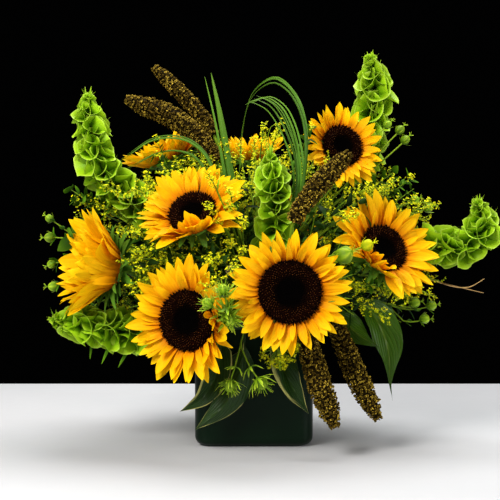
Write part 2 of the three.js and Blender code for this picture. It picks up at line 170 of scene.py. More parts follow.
class Route:
    """A smooth line through the middles of a bar's cross-sections, with the half width and the direction
    of the width at each. Shares run from 0 at the foot to 1 at the tip."""

    def __init__(self, middles, radii=None, widths=None):
        middles = np.asarray(middles, float)
        count = len(middles)
        fine = 6
        ends = np.vstack([2 * middles[0] - middles[1], middles, 2 * middles[-1] - middles[-2]])
        pieces = []
        for i in range(count - 1):
            a, b, c, d = ends[i : i + 4]
            t = (np.arange(fine) / fine)[:, None]
            bend = (2 * a - 5 * b + 4 * c - d) * t**2 + (3 * b - a - 3 * c + d) * t**3
            pieces.append(0.5 * (2 * b + (c - a) * t + bend))
        self.line = np.vstack([*pieces, middles[-1:]])
        run = np.concatenate([[0], np.cumsum(np.linalg.norm(np.diff(self.line, axis=0), axis=1))])
        self.length = run[-1]
        self.shares = run / run[-1]
        self.knots = self.shares[::fine]
        self.radii = np.full(count, 0.001) if radii is None else np.asarray(radii, float)
        self.widths = widths

    def at(self, share):
        return np.stack([np.interp(share, self.shares, self.line[:, k]) for k in range(3)], axis=-1)

    def along(self, share):
        share = np.asarray(share, float)
        return unit(self.at(np.minimum(share + 0.01, 1)) - self.at(np.maximum(share - 0.01, 0)))

    def radius(self, share):
        return np.interp(share, self.knots, self.radii)

    def sides(self, share):
        """For each share, the direction of the width and the one square to it and to the line."""
        along = self.along(share)
        if self.widths is None:
            axes = np.eye(3)
            hint = axes[np.argmin(np.abs(along @ axes.T).max(axis=0))]
            hint = np.broadcast_to(hint, along.shape)
        else:
            hint = np.stack([np.interp(share, self.knots, self.widths[:, k]) for k in range(3)], axis=-1)
        across = unit(hint - along * np.sum(hint * along, axis=-1, keepdims=True))
        return across, np.cross(across, along)

    def axes(self, share):
        """At one share: the direction of the width, the one square to it, and the one along the line."""
        across, face = self.sides(np.array([share]))
        return across[0], face[0], self.along(share)


def route_of(node, flat=False):
    """A CAD bar's route. A flat bar's width runs from each section's middle to its furthest corner."""
    parts = sections(node)
    middles = np.array([p.mean(axis=0) for p in parts])
    radii = np.array([np.linalg.norm(p - m, axis=1).max() for p, m in zip(parts, middles)])
    if not flat:
        return Route(middles, radii)
    widths = []
    for part, middle in zip(parts, middles):
        away = part - middle
        way = unit(away[np.argmax(np.linalg.norm(away, axis=1))])
        if widths and np.dot(way, widths[-1]) < 0:
            way = -way
        widths.append(way)
    return Route(middles, radii, np.array(widths))


def limbs_of(node, shortest):
    """The routes from a branching node's foot to each of its ends. An end is a corner that no neighbour lies
    beyond, counted along the surface, and two ends closer than shortest are one."""
    corners, near = corners_of(node)
    foot = int(np.argmin(np.linalg.norm(corners - foam_top, axis=1)))
    run = {foot: 0.0}
    back = {}
    front = [foot]
    while front:
        here = min(front, key=run.get)
        front.remove(here)
        for there in near[here]:
            length = run[here] + np.linalg.norm(corners[here] - corners[there])
            if length < run.get(there, 1e9) - 1e-9:
                run[there] = length
                back[there] = here
                if there not in front:
                    front.append(there)
    peaks = [i for i in run if all(run[n] <= run[i] for n in near[i])]
    peaks.sort(key=run.get, reverse=True)
    ends = []
    for peak in peaks:
        if all(np.linalg.norm(corners[peak] - corners[end]) > shortest for end in ends):
            ends.append(peak)
    limbs = []
    for end in ends:
        chain = [end]
        while chain[-1] in back:
            chain.append(back[chain[-1]])
        limbs.append(corners[chain[::-1]])
    return limbs


class Head:
    """A sunflower's head: its centre, the way it faces, its disc's radius, and where its rays end."""

    def __init__(self, name):
        parts = sections(f"{name}_disc")
        rim = parts[0]
        self.centre = rim.mean(axis=0)
        self.radius = np.linalg.norm(rim[0] - self.centre)
        self.facing = unit(parts[2].mean(axis=0) - self.centre)
        self.right, self.up = square_to(self.facing, rim[0] - self.centre)
        local = corners_of(f"{name}_petals")[0] - self.centre
        height = local @ self.facing
        angle = np.arctan2(local @ self.up, local @ self.right)
        radius = np.hypot(local @ self.up, local @ self.right)
        self.foot = self.radius + 3 * MM
        reach = np.hypot(radius - self.foot, height)
        cad_rays = 18
        least_gap = math.radians(14)
        tips = []
        for i in np.argsort(-reach):
            gap = np.abs((angle[i] - angle[tips] + math.pi) % (2 * math.pi) - math.pi)
            if not len(tips) or gap.min() > least_gap:
                tips.append(i)
            if len(tips) == cad_rays:
                break
        tips = np.array(sorted(tips, key=lambda i: angle[i]))
        self.angles = angle[tips]
        self.lengths = reach[tips]
        self.lifts = np.arctan2(height[tips], radius[tips] - self.foot)

    def ray(self, angles):
        """Length and lift of a ray at each angle, between those of the CAD's rays."""
        lengths = np.interp(angles, self.angles, self.lengths, period=2 * math.pi)
        return lengths, np.interp(angles, self.angles, self.lifts, period=2 * math.pi)

    def place(self, x, y, z):
        """Points given in the head's own directions, in the row frame."""
        axes = np.stack([self.right, self.up, self.facing])
        return self.centre + np.stack([x, y, z], axis=-1) @ axes


# ---- meshes -------------------------------------------------------------------------------------


class Batch:
    """One piece, gathered from many small shapes. Its vertices carry three values for the materials:
    along, across and tone."""

    def __init__(self):
        self.points = []
        self.faces = []
        self.values = []
        self.count = 0

    def add(self, points, faces, along=0.0, across=0.0, tone=0.5):
        """faces is a list of arrays of vertex numbers: rows of 3 and rows of 4."""
        points = np.asarray(points, float).reshape(-1, 3)
        size = len(points)
        values = [np.broadcast_to(np.asarray(v, float).ravel(), size) for v in (along, across, tone)]
        self.points.append(points)
        self.values.append(np.stack(values, axis=1))
        for part in faces:
            self.faces.append(np.asarray(part, int) + self.count)
        self.count += size

    def copies(self, template, faces, frames, origins, sizes, along=0.0, across=0.0, tone=0.5):
        """A template shape once for each origin. frames holds three unit vectors for each."""
        template = np.asarray(template, float)
        count = len(origins)
        sizes = np.broadcast_to(np.asarray(sizes, float), (count,))
        points = np.einsum("vk,nkx->nvx", template, frames) * sizes[:, None, None] + origins[:, None, :]
        shift = np.arange(count) * len(template)
        moved = [(part[None] + shift[:, None, None]).reshape(-1, part.shape[1]) for part in faces]
        values = []
        for value in (along, across, tone):
            value = np.asarray(value, float)
            if value.ndim == 1 and len(value) == count and count != len(template):
                value = value[:, None]
            values.append(np.broadcast_to(value, (count, len(template))))
        self.add(points, moved, *values)

    def build(self, name, material, node=None, slot=None):
        """Makes the piece. It rides on the body and stands for the CAD node, where one is named."""
        points = np.concatenate(self.points)
        values = np.concatenate(self.values)
        mesh = bpy.data.meshes.new(name)
        mesh.vertices.add(len(points))
        mesh.vertices.foreach_set("co", points.ravel())
        corners = np.concatenate([part.ravel() for part in self.faces])
        sizes = np.concatenate([np.full(len(part), part.shape[1]) for part in self.faces])
        mesh.loops.add(len(corners))
        mesh.loops.foreach_set("vertex_index", corners)
        mesh.polygons.add(len(sizes))
        mesh.polygons.foreach_set("loop_start", np.concatenate([[0], np.cumsum(sizes)[:-1]]))
        mesh.polygons.foreach_set("use_smooth", np.ones(len(sizes), bool))
        mesh.update(calc_edges=True)
        for column, label in enumerate(("along", "across", "tone")):
            layer = mesh.attributes.new(label, "FLOAT", "POINT")
            layer.data.foreach_set("value", values[:, column])
        mesh.materials.append(material)
        piece = bpy.data.objects.new(name, mesh)
        bpy.context.scene.collection.objects.link(piece)
        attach(piece, "root")
        if node:
            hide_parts(node)
        return piece


def grid_faces(rows, columns, closed=False):
    """Quads over a grid of rows by columns vertices. A closed grid joins its last column to its first."""
    i = np.arange(rows - 1)[:, None] * columns
    j = np.arange(columns if closed else columns - 1)[None, :]
    k = (j + 1) % columns
    return np.stack([i + j, i + k, i + columns + k, i + columns + j], axis=-1).reshape(-1, 4)


def repeated(faces, count, size):
    return (faces[None] + (np.arange(count) * size)[:, None, None]).reshape(-1, faces.shape[1])


def tube(batch, route, radius, sides=10, steps=24, start=0.0, end=1.0, tone=0.5, closed=True, shade=None):
    """A round bar along a route. radius is a number or a function of the share of the way from start to
    end. Its colour runs along it, unless shade gives one value for all of it."""
    t = np.linspace(0, 1, steps)
    share = start + (end - start) * t
    size = radius(t) if callable(radius) else np.full(steps, float(radius))
    across, face = route.sides(share)
    turn = np.arange(sides) / sides * 2 * math.pi
    ring = across[:, None] * np.cos(turn)[None, :, None] + face[:, None] * np.sin(turn)[None, :, None]
    points = (route.at(share)[:, None] + ring * size[:, None, None]).reshape(-1, 3)
    faces = [grid_faces(steps, sides, closed=True)[:, ::-1]]
    along = np.repeat(t, sides)
    wrap = np.tile(np.arange(sides) / sides, steps)
    if closed:
        points = np.vstack([points, route.at(share[:1]), route.at(share[-1:])])
        j = np.arange(sides)
        k = (j + 1) % sides
        low = np.full(sides, steps * sides)
        last = (steps - 1) * sides
        faces += [np.stack([j, k, low], axis=1), np.stack([last + k, last + j, low + 1], axis=1)]
        along = np.append(along, [0, 1])
        wrap = np.append(wrap, [0, 0])
    batch.add(points, faces, along if shade is None else shade, wrap, tone)


def ribbon(batch, route, width, rise, rows=24, columns=7, start=0.0, end=1.0, tone=0.5, roll=0.0):
    """A thin sheet along a route: width(t) is its half width, and rise(t, u) how far it stands off the
    route for u from -1 to 1 across it, as a share of the half width."""
    t = np.linspace(0, 1, rows)
    u = np.linspace(-1, 1, columns)
    share = start + (end - start) * t
    across, face = route.sides(share)
    if np.any(roll):
        angle = np.broadcast_to(np.asarray(roll, float), t.shape)
        along = route.along(share)
        across, face = turned(across, along, angle), turned(face, along, angle)
    half = width(t)
    grid_t, grid_u = np.meshgrid(t, u, indexing="ij")
    lift = rise(grid_t, grid_u) * half[:, None]
    points = route.at(share)[:, None] + across[:, None] * (grid_u * half[:, None])[..., None]
    points = points + face[:, None] * lift[..., None]
    batch.add(points, [grid_faces(rows, columns)], grid_t, grid_u, tone)


def bud(sides=6, rings=((0.0, 0.4), (0.55, 0.5), (0.85, 0.28)), top=1.0):
    """A small pointed bud along +Z of about unit size: rings are (height, radius). Returns points and
    faces."""
    turn = np.arange(sides) / sides * 2 * math.pi
    points = [np.stack([np.cos(turn) * r, np.sin(turn) * r, np.full(sides, h)], axis=1) for h, r in rings]
    points = np.vstack([*points, [[0, 0, top]]])
    j = np.arange(sides)
    last = (len(rings) - 1) * sides
    cap = np.stack([last + j, last + (j + 1) % sides, np.full(sides, len(rings) * sides)], axis=1)
    return points, [grid_faces(len(rings), sides, closed=True), cap]


def frames_along(directions, spin=None):
    """Three unit vectors for each direction, the third along it, for Batch.copies."""
    directions = unit(directions)
    hint = np.where(np.abs(directions[:, 2:3]) < 0.9, UP, np.array([1.0, 0, 0]))
    first = unit(np.cross(hint, directions))
    if spin is not None:
        first = turned(first, directions, spin)
    return np.stack([first, np.cross(directions, first), directions], axis=1)


# ---- materials ----------------------------------------------------------------------------------


class Shader:
    """A short way to write a node tree."""

    def __init__(self, name):
        self.material = bpy.data.materials.new(name)
        self.material.use_nodes = True
        self.tree = self.material.node_tree
        self.surface = self.tree.nodes["Principled BSDF"]
        self.output = self.tree.nodes["Material Output"]

    def node(self, kind, settings=None, **inputs):
        node = self.tree.nodes.new(f"ShaderNode{kind}")
        for key, value in (settings or {}).items():
            setattr(node, key, value)
        for key, value in inputs.items():
            self.feed(node.inputs[key.replace("_", " ")], value)
        return node

    def feed(self, socket, value):
        if isinstance(value, bpy.types.NodeSocket):
            self.tree.links.new(value, socket)
        else:
            socket.default_value = value

    def value_of(self, label):
        return self.node("Attribute", {"attribute_name": label}).outputs["Fac"]

    def maths(self, operation, a, b=0.0, c=0.0, clamp=False):
        node = self.node("Math", {"operation": operation, "use_clamp": clamp})
        for socket, value in zip(node.inputs, (a, b, c)):
            self.feed(socket, value)
        return node.outputs[0]

    def scaled(self, value, factor, offset=0.0, clamp=False):
        return self.maths("MULTIPLY_ADD", value, factor, offset, clamp)

    def ramp(self, fac, stops):
        node = self.node("ValToRGB", Fac=fac)
        elements = node.color_ramp.elements
        while len(elements) < len(stops):
            elements.new(0.5)
        for element, (place, colour) in zip(elements, stops):
            element.position = place
            element.color = (*colour, 1.0)
        return node.outputs["Color"]

    def mix(self, fac, a, b, blend="MIX"):
        node = self.node("Mix", {"data_type": "RGBA", "blend_type": blend})
        for socket, value in zip((node.inputs[0], node.inputs[6], node.inputs[7]), (fac, a, b)):
            if isinstance(value, tuple):
                value = (*value, 1.0)
            self.feed(socket, value)
        return node.outputs[2]

    def noise(self, scale, detail=3.0, vector=None, roughness=0.5):
        node = self.node("TexNoise", Scale=scale, Detail=detail, Roughness=roughness)
        source = vector or self.node("TexCoord").outputs["Object"]
        self.feed(node.inputs["Vector"], source)
        return node.outputs["Fac"]

    def stretched(self, along_scale, across_scale):
        """Texture coordinates that run along and across a petal or leaf, different on each one."""
        node = self.node("CombineXYZ")
        scales = (("along", along_scale), ("across", across_scale), ("tone", 40.0))
        for socket, (label, scale) in zip(node.inputs, scales):
            self.feed(socket, self.maths("MULTIPLY", self.value_of(label), scale))
        return node.outputs[0]

    def bump(self, height, strength, distance):
        node = self.node("Bump", Height=height, Strength=strength, Distance=distance)
        self.feed(self.surface.inputs["Normal"], node.outputs[0])

    def set(self, **inputs):
        for key, value in inputs.items():
            self.feed(self.surface.inputs[key.replace("_", " ")], value)

    def translucent(self, colour, share):
        """Lets some of the light from behind through, as thin petals and leaves do."""
        glow = self.node("BsdfTranslucent", Color=colour)
        both = self.node("MixShader", Fac=share)
        self.feed(both.inputs[1], self.surface.outputs[0])
        self.feed(both.inputs[2], glow.outputs[0])
        self.feed(self.output.inputs[0], both.outputs[0])


def plant(name, stops, by="along", tone=0.35, mottle=(250.0, 0.25), roughness=0.55, glow=0.0, streaks_and_groove_shade=None,
          bumps=(1500.0, 0.2), gloss=0.15):
    """A plant's surface. Its colour runs along a ramp by one of the vertex values, differs in lightness from
    one piece to the next by tone, and is mottled by noise of (scale, amount). The streak settings are (along,
    across, amount): lines of colour that come from the same noise as the bump, so they darken its grooves as
    painted shade as well as streaking the surface."""
    shader = Shader(name)
    colour = shader.ramp(shader.value_of(by), stops)
    light = shader.scaled(shader.value_of("tone"), 2 * tone, 1 - tone)
    spots = shader.noise(mottle[0])
    light = shader.maths("MULTIPLY", light, shader.scaled(spots, 2 * mottle[1], 1 - mottle[1]))
    if streaks_and_groove_shade:
        # The streak noise darkens the colour where it lowers the bump below: streaky colour, and painted shade
        # in the grooves.
        lines = shader.noise(1.0, 2.0, shader.stretched(streaks_and_groove_shade[0], streaks_and_groove_shade[1]))
        light = shader.maths("MULTIPLY", light, shader.scaled(lines, 2 * streaks_and_groove_shade[2], 1 - streaks_and_groove_shade[2]))
        height = shader.maths("ADD", lines, shader.maths("MULTIPLY", shader.noise(bumps[0]), 0.3))
    else:
        height = shader.noise(bumps[0])
    grey = shader.node("CombineColor", Red=light, Green=light, Blue=light).outputs[0]
    colour = shader.mix(1.0, colour, grey, "MULTIPLY")
    rough = shader.scaled(spots, 0.2, roughness - 0.1, clamp=True)
    shader.set(Base_Color=colour, Roughness=rough, Specular_IOR_Level=gloss)
    shader.bump(height, bumps[1], 0.0006)
    if glow:
        shader.translucent(colour, glow)
    return shader.material


petal_material = plant(
    "petal",
    [(0.0, (0.36, 0.07, 0.0)), (0.15, (0.72, 0.23, 0.0)), (0.45, (0.86, 0.43, 0.001)),
     (1.0, (0.90, 0.57, 0.002))],
    tone=0.13, mottle=(120.0, 0.05), roughness=0.6, glow=0.25, streaks_and_groove_shade=(1.3, 5.0, 0.16), bumps=(900.0, 0.4),
    gloss=0.06,
)
disc_material = plant(
    "disc",
    [(0.0, (0.0004, 0.0002, 0.0002)), (0.42, (0.0007, 0.0003, 0.0002)), (0.62, (0.0060, 0.0014, 0.0004)),
     (0.82, (0.0080, 0.0016, 0.0005)), (0.94, (0.005, 0.0012, 0.0004)), (1.0, (0.003, 0.0008, 0.0003))],
    tone=0.45, mottle=(900.0, 0.3), roughness=0.8, bumps=(2500.0, 0.3), gloss=0.012,
)
stamen_material = plant(
    "stamen", [(0.0, (0.006, 0.002, 0.001)), (0.6, (0.020, 0.006, 0.002)), (1.0, (0.13, 0.040, 0.006))],
    tone=0.5, mottle=(900.0, 0.2), roughness=0.6, gloss=0.08,
)
stem_material = plant(
    "stem", [(0.0, (0.05, 0.13, 0.010)), (1.0, (0.10, 0.22, 0.016))], tone=0.15, mottle=(160.0, 0.25),
    roughness=0.6, streaks_and_groove_shade=(2.0, 9.0, 0.15),
)
sepal_material = plant(
    "sepal", [(0.0, (0.04, 0.11, 0.006)), (1.0, (0.08, 0.19, 0.012))], tone=0.25, mottle=(200.0, 0.2),
    roughness=0.6, glow=0.15, streaks_and_groove_shade=(1.5, 6.0, 0.2),
)
# The calyx runs from near-black green at its foot, painted shade deep in the cup and between the whorls, to
# the pale green of its lip.
bell_material = plant(
    "bell",
    [(0.0, (0.03, 0.09, 0.001)), (0.4, (0.14, 0.31, 0.002)), (0.9, (0.34, 0.55, 0.010)),
     (1.0, (0.46, 0.65, 0.07))],
    tone=0.22, mottle=(180.0, 0.12), roughness=0.45, glow=0.22, streaks_and_groove_shade=(2.0, 12.0, 0.16), bumps=(900.0, 0.3),
    gloss=0.16,
)
grass_material = plant(
    "grass", [(0.0, (0.03, 0.09, 0.006)), (0.6, (0.06, 0.16, 0.010)), (1.0, (0.11, 0.24, 0.016))], tone=0.3,
    mottle=(90.0, 0.15), roughness=0.4, glow=0.12, streaks_and_groove_shade=(1.0, 9.0, 0.2), gloss=0.25,
)
# The seed ramp runs from near-black, used as painted shade at the seeds' feet and on the head's core, to
# golden, used as a painted highlight on their outward tips.
seed_material = plant(
    "seed", [(0.0, (0.005, 0.003, 0.0006)), (0.4, (0.075, 0.046, 0.005)), (1.0, (0.78, 0.54, 0.06))],
    tone=0.5, mottle=(500.0, 0.3), roughness=0.75, bumps=(2500.0, 0.2), gloss=0.03,
)
floret_material = plant(
    "floret", [(0.0, (0.20, 0.34, 0.004)), (0.5, (0.62, 0.68, 0.006)), (1.0, (0.98, 0.86, 0.007))], tone=0.35,
    mottle=(400.0, 0.2), roughness=0.6, glow=0.2, gloss=0.08,
)
sprig_material = plant(
    "sprig", [(0.0, (0.035, 0.09, 0.003)), (1.0, (0.20, 0.31, 0.009))], tone=0.3, mottle=(200.0, 0.2),
    roughness=0.6, bumps=(1200.0, 0.25), gloss=0.12,
)
frond_material = plant(
    "frond", [(0.0, (0.010, 0.038, 0.001)), (0.5, (0.036, 0.105, 0.002)), (1.0, (0.09, 0.20, 0.006))],
    tone=0.5, mottle=(150.0, 0.25), roughness=0.6, glow=0.2, streaks_and_groove_shade=(2.0, 5.0, 0.15), gloss=0.06,
)
shade_material = plant(
    "shaded_frond", [(0.0, (0.004, 0.015, 0.001)), (1.0, (0.017, 0.050, 0.002))], tone=0.6,
    mottle=(150.0, 0.3), roughness=0.6, glow=0.1, gloss=0.05,
)
pod_material = plant(
    "pod", [(0.0, (0.05, 0.12, 0.002)), (0.6, (0.19, 0.33, 0.006)), (1.0, (0.44, 0.56, 0.030))], tone=0.35,
    mottle=(250.0, 0.15), roughness=0.5, bumps=(1200.0, 0.3), gloss=0.15,
)
cone_material = plant(
    "cone", [(0.0, (0.01, 0.008, 0.003)), (1.0, (0.16, 0.13, 0.05))], tone=0.3, mottle=(300.0, 0.3),
    gloss=0.1,
)
twig_material = plant(
    "twig", [(0.0, (0.12, 0.065, 0.022)), (1.0, (0.42, 0.26, 0.10))], tone=0.2, mottle=(300.0, 0.3),
    roughness=0.6, streaks_and_groove_shade=(6.0, 3.0, 0.2), gloss=0.15,
)


def leaf_surface(name, blade, rib, margin=None):
    """A veined leaf: a pale midrib, side veins that run forward from it, and for some a pale margin."""
    shader = Shader(name)
    along = shader.value_of("along")
    across = shader.value_of("across")
    side = shader.maths("ABSOLUTE", across)
    slant = shader.scaled(along, 7.0, shader.maths("MULTIPLY", side, -4.5))
    wave = shader.maths("SINE", shader.maths("MULTIPLY", slant, 3.14))
    vein = shader.maths("POWER", shader.maths("ABSOLUTE", wave), 0.35)
    midrib = shader.maths("SMOOTH_MIN", shader.maths("MULTIPLY", side, 9.0), 1.0, 0.3)
    patches = shader.noise(1.0, 4.0, shader.stretched(3.0, 2.0))
    pale_blade = tuple(1.7 * c for c in blade)
    colour = shader.mix(shader.scaled(patches, 1.2, -0.1, clamp=True), blade, pale_blade)
    colour = shader.mix(shader.scaled(vein, -0.6, 0.6), colour, rib)
    colour = shader.mix(midrib, rib, colour)
    if margin:
        ragged = shader.noise(1.0, 3.0, shader.stretched(1.6, 1.0))
        edge = shader.scaled(ragged, 1.6, side)
        edge = shader.scaled(shader.maths("POWER", along, 3.0), 0.10, edge)
        colour = shader.mix(shader.scaled(edge, 8.0, -13.5, clamp=True), colour, margin)
    height = shader.maths("ADD", shader.maths("MULTIPLY", vein, 0.5), shader.maths("MULTIPLY", patches, 0.3))
    shader.set(Base_Color=colour, Roughness=shader.scaled(patches, 0.15, 0.28), Specular_IOR_Level=0.22)
    shader.bump(height, 0.8, 0.0018)
    shader.translucent(colour, 0.14)
    return shader.material


leaf_material = leaf_surface("leaf", (0.020, 0.058, 0.001), (0.070, 0.120, 0.006))
variegated_material = leaf_surface(
    "variegated_leaf", (0.008, 0.026, 0.002), (0.022, 0.052, 0.006), (0.46, 0.44, 0.13)
)


def vase_surface():
    """A dark green glaze."""
    shader = Shader("dark_green_vase")
    cloud = shader.noise(14.0, 3.0)
    fine = shader.noise(900.0, 2.0)
    colour = shader.ramp(cloud, [(0.3, (0.0013, 0.0065, 0.0023)), (0.75, (0.0022, 0.0098, 0.0036))])
    shader.set(Base_Color=colour, Roughness=shader.scaled(cloud, 0.10, 0.30), Specular_IOR_Level=0.08)
    shader.bump(fine, 0.04, 0.0003)
    return shader.material


def foam_surface():
    """Wet foam, dark and full of fine cells."""
    shader = Shader("soaked_foam")
    cells = shader.noise(700.0, 5.0)
    colour = shader.ramp(cells, [(0.3, (0.010, 0.030, 0.012)), (0.7, (0.035, 0.085, 0.035))])
    shader.set(Base_Color=colour, Roughness=0.95)
    shader.bump(cells, 0.6, 0.001)
    return shader.material


def floor_surface():
    """A pale, slightly glossy table top."""
    shader = Shader("pale_floor")
    cloud = shader.noise(3.0, 3.0)
    fine = shader.noise(60.0, 4.0)
    colour = shader.ramp(cloud, [(0.3, (0.52, 0.53, 0.54)), (0.7, (0.58, 0.58, 0.59))])
    shader.set(Base_Color=colour, Roughness=shader.scaled(fine, 0.08, 0.26))
    return shader.material


# ---- sunflowers ---------------------------------------------------------------------------------

heads = {name: Head(name) for name in (f"sunflower_{i}" for i in range(1, 10))}


def add_sheets(batch, t, u, middle, across, face, width, stand, tone):
    """A row of thin sheets, one for each petal or sepal. t runs along them and u across them. middle, across,
    face and width are given for each sheet and t, and stand, how far it stands off, for each sheet, t and
    u."""
    shape = (len(middle), len(t), len(u))
    grid_u = np.broadcast_to(u, shape)
    points = middle[:, :, None] + across[:, :, None] * (grid_u * width[:, :, None])[..., None]
    points = points + face[:, :, None] * (stand * width[:, :, None])[..., None]
    faces = [repeated(grid_faces(len(t), len(u)), len(middle), len(t) * len(u))]
    tones = np.broadcast_to(tone[:, None, None], shape)
    batch.add(points, faces, np.broadcast_to(t[:, None], shape), grid_u, tones)


def ray_petals(batch, head, count, turn, length, lift, inset, height, kept, curling):
    """One row of petals, of which some may be left out. length is a share of the CAD ray's length, lift is
    added to its lift in degrees, and inset and height place the petals' feet from the rays' base circle.
    curling is how much their curl differs, in degrees."""
    rows, columns = 13, 9
    spare = 2 * math.pi / count
    angles = (np.arange(count) + turn) * spare + rng.normal(0, 0.14 * spare, count)
    angles = angles[rng.uniform(0, 1, count) < kept]
    count = len(angles)
    reach, rise = head.ray(angles)
    reach = reach * length * (1 + rng.normal(0, 0.05, count))
    rise = rise + math.radians(lift) + rng.normal(0, math.radians(7), count)
    curl = rng.normal(math.radians(-6), math.radians(curling), count)
    roll = rng.normal(math.radians(10), math.radians(9), count)
    twist = rng.normal(0, math.radians(18), count)
    half = reach * rng.normal(0.185, 0.016, count)
    cup = rng.normal(0.24, 0.12, count)
    sway = rng.normal(0, 0.06, count)
    t = 1 - (1 - np.linspace(0, 1, rows)) ** 1.3
    u = np.linspace(-1, 1, columns)

    slope = rise[:, None] + curl[:, None] * (t - 0.4)
    step = np.diff(t, prepend=0.0)
    out = np.cumsum(np.cos(slope) * step, axis=1) * reach[:, None]
    up = np.cumsum(np.sin(slope) * step, axis=1) * reach[:, None]
    radial = around(head.right, head.up, angles)
    side = around(head.up, -head.right, angles)
    along = np.cos(slope)[..., None] * radial[:, None] + np.sin(slope)[..., None] * head.facing
    face = np.cross(along, np.broadcast_to(side[:, None], along.shape))
    angle = roll[:, None] + twist[:, None] * t
    across = turned(np.broadcast_to(side[:, None], along.shape), along, angle)
    face = turned(face, along, angle)

    width = (0.70 + 0.30 * np.sin(math.pi / 2 * np.minimum(t / 0.45, 1))) * (1 - t**3.6) ** 0.9
    width = half[:, None] * width
    phase = rng.uniform(0, 6.3, count)[:, None, None]
    grid_t = t[:, None]
    stand = cup[:, None, None] * (u**2 - 0.3)
    stand = stand + 0.08 * np.cos(u * 2.6 * math.pi) * (1 - grid_t * 0.4)
    stand = stand + 0.12 * u**3 * np.sin(7 * grid_t + phase) + 0.06 * np.sin(11 * grid_t + phase)
    foot = head.centre + radial * (head.foot - inset) + head.facing * height
    middle = foot[:, None] + out[..., None] * radial[:, None] + up[..., None] * head.facing
    middle = middle + side[:, None] * (sway[:, None] * reach[:, None] * t**2)[..., None]
    add_sheets(batch, t, u, middle, across, face, width, stand, rng.uniform(0, 1, count))


def disc_florets(batch, stamens, head):
    """The disc: a low dome, packed with florets in a sunflower's spiral. The middle ones are closed and
    lie in a hollow, and the outer ones stand open with lighter tips."""
    dome = np.array([[0.0, 1.8], [0.25, 3.0], [0.5, 5.2], [0.72, 6.4], [0.88, 6.0], [1.0, 3.6]])
    tall = np.interp(np.linspace(0, 1, 12), dome[:, 0], dome[:, 1])
    turn = np.arange(36) / 36 * 2 * math.pi
    share = np.linspace(0, 1, 12)
    x = np.outer(share * head.radius, np.cos(turn))
    y = np.outer(share * head.radius, np.sin(turn))
    z = np.repeat(tall[:, None], 36, axis=1) * MM
    batch.add(head.place(x, y, z), [grid_faces(12, 36, closed=True)], np.repeat(share, 36), 0, 0.35)

    count = int(620 * (head.radius / (31 * MM)) ** 2)
    k = np.arange(count) + 0.6
    share = np.sqrt(k / count)
    angle = k * GOLDEN_ANGLE
    x = share * head.radius * 0.985 * np.cos(angle)
    y = share * head.radius * 0.985 * np.sin(angle)
    z = np.interp(share, dome[:, 0], dome[:, 1]) * MM
    lean = np.interp(share, [0, 0.3, 0.6, 0.85, 1], [-0.15, -0.35, 0.0, 0.4, 1.3])
    ways = head.facing + lean[:, None] * around(head.right, head.up, angle) + rng.normal(0, 0.06, (count, 3))
    frames = frames_along(ways, spread(count, 0, 6))
    grown = np.interp(share, [0, 0.35, 0.8, 1], [0.86, 0.95, 1.05, 1.0])
    size = head.radius / math.sqrt(count) * 1.75 * grown
    size = size * (1 + rng.normal(0, 0.06, count))
    points, faces = bud(5, ((-0.2, 0.5), (0.5, 0.40)), 0.78)
    tall = np.interp(share, [0, 0.4, 0.55, 0.9, 1], [0.75, 0.9, 1.15, 1.35, 2.0])
    frames[:, 2] *= tall[:, None]
    shade = np.clip(share + rng.normal(0, 0.03, count), 0, 1)
    batch.copies(points, faces, frames, head.place(x, y, z), size, along=shade, tone=spread(count, 0, 1))

    chance = np.interp(share, [0.5, 0.66, 0.8, 1], [0.15, 0.75, 0.55, 0.35])
    open_ones = np.flatnonzero((share > 0.52) & (rng.uniform(0, 1, count) < chance))
    points, faces = bud(4, ((0.0, 0.16), (0.7, 0.13), (0.95, 0.2)), 0.9)
    origins = head.place(x, y, z)[open_ones] + unit(ways[open_ones]) * (0.6 * size * tall)[open_ones, None]
    heights = np.repeat([0.0, 0.7, 1.0, 1.0], 4)[: len(points)]
    stamens.copies(points, faces, frames_along(ways[open_ones]), origins, size[open_ones] * 0.75,
                   along=heights, tone=spread(len(open_ones), 0, 1))


def head_back(batch, head):
    """The green cup behind the rays, and its two rows of pointed sepals."""
    rows = 7
    t = np.linspace(0, 1, rows)
    u = np.linspace(-1, 1, 5)
    for row, (count, length, lean) in enumerate(((17, 0.62, 14), (16, 0.5, 32))):
        angles = (np.arange(count) + 0.5 * row) / count * 2 * math.pi + rng.normal(0, 0.06, count)
        reach, rise = head.ray(angles)
        reach = reach * length * (1 + rng.normal(0, 0.08, count))
        slope0 = np.minimum(rise, math.radians(25)) - math.radians(lean) + rng.normal(0, 0.12, count)
        radial = around(head.right, head.up, angles)
        side = around(head.up, -head.right, angles)
        slope = slope0[:, None] + rng.normal(-0.2, 0.35, count)[:, None] * (t - 0.3)
        out = np.cumsum(np.cos(slope), axis=1) / rows * reach[:, None]
        up = np.cumsum(np.sin(slope), axis=1) / rows * reach[:, None]
        width = (reach * 0.2)[:, None] * (1 - t**1.6) ** 0.8
        start = head.centre + radial * (head.radius - 2 * MM) - head.facing * (1.2 + 1.6 * row) * MM
        middle = start[:, None] + out[..., None] * radial[:, None] + up[..., None] * head.facing
        across = np.broadcast_to(side[:, None], middle.shape)
        face = np.broadcast_to(head.facing, middle.shape)
        add_sheets(batch, t, u, middle, across, face, width, 0.25 * u**2, spread(count, 0, 1))


# The rows of rays, from the back to the front: how many, their turn, length, lift in degrees, inset and
# height in millimetres, the share of them that is there, and how much their curl differs in degrees.
RAY_ROWS = (
    (23, 0.0, 1.05, -8, 3.2, -0.2, 1.0, 24.0),
    (22, 0.5, 1.00, 1, 3.6, 0.7, 1.0, 24.0),
    (20, 0.2, 0.86, 11, 3.8, 1.5, 0.85, 32.0),
    (18, 0.7, 0.64, 22, 3.9, 2.2, 0.45, 40.0),
)


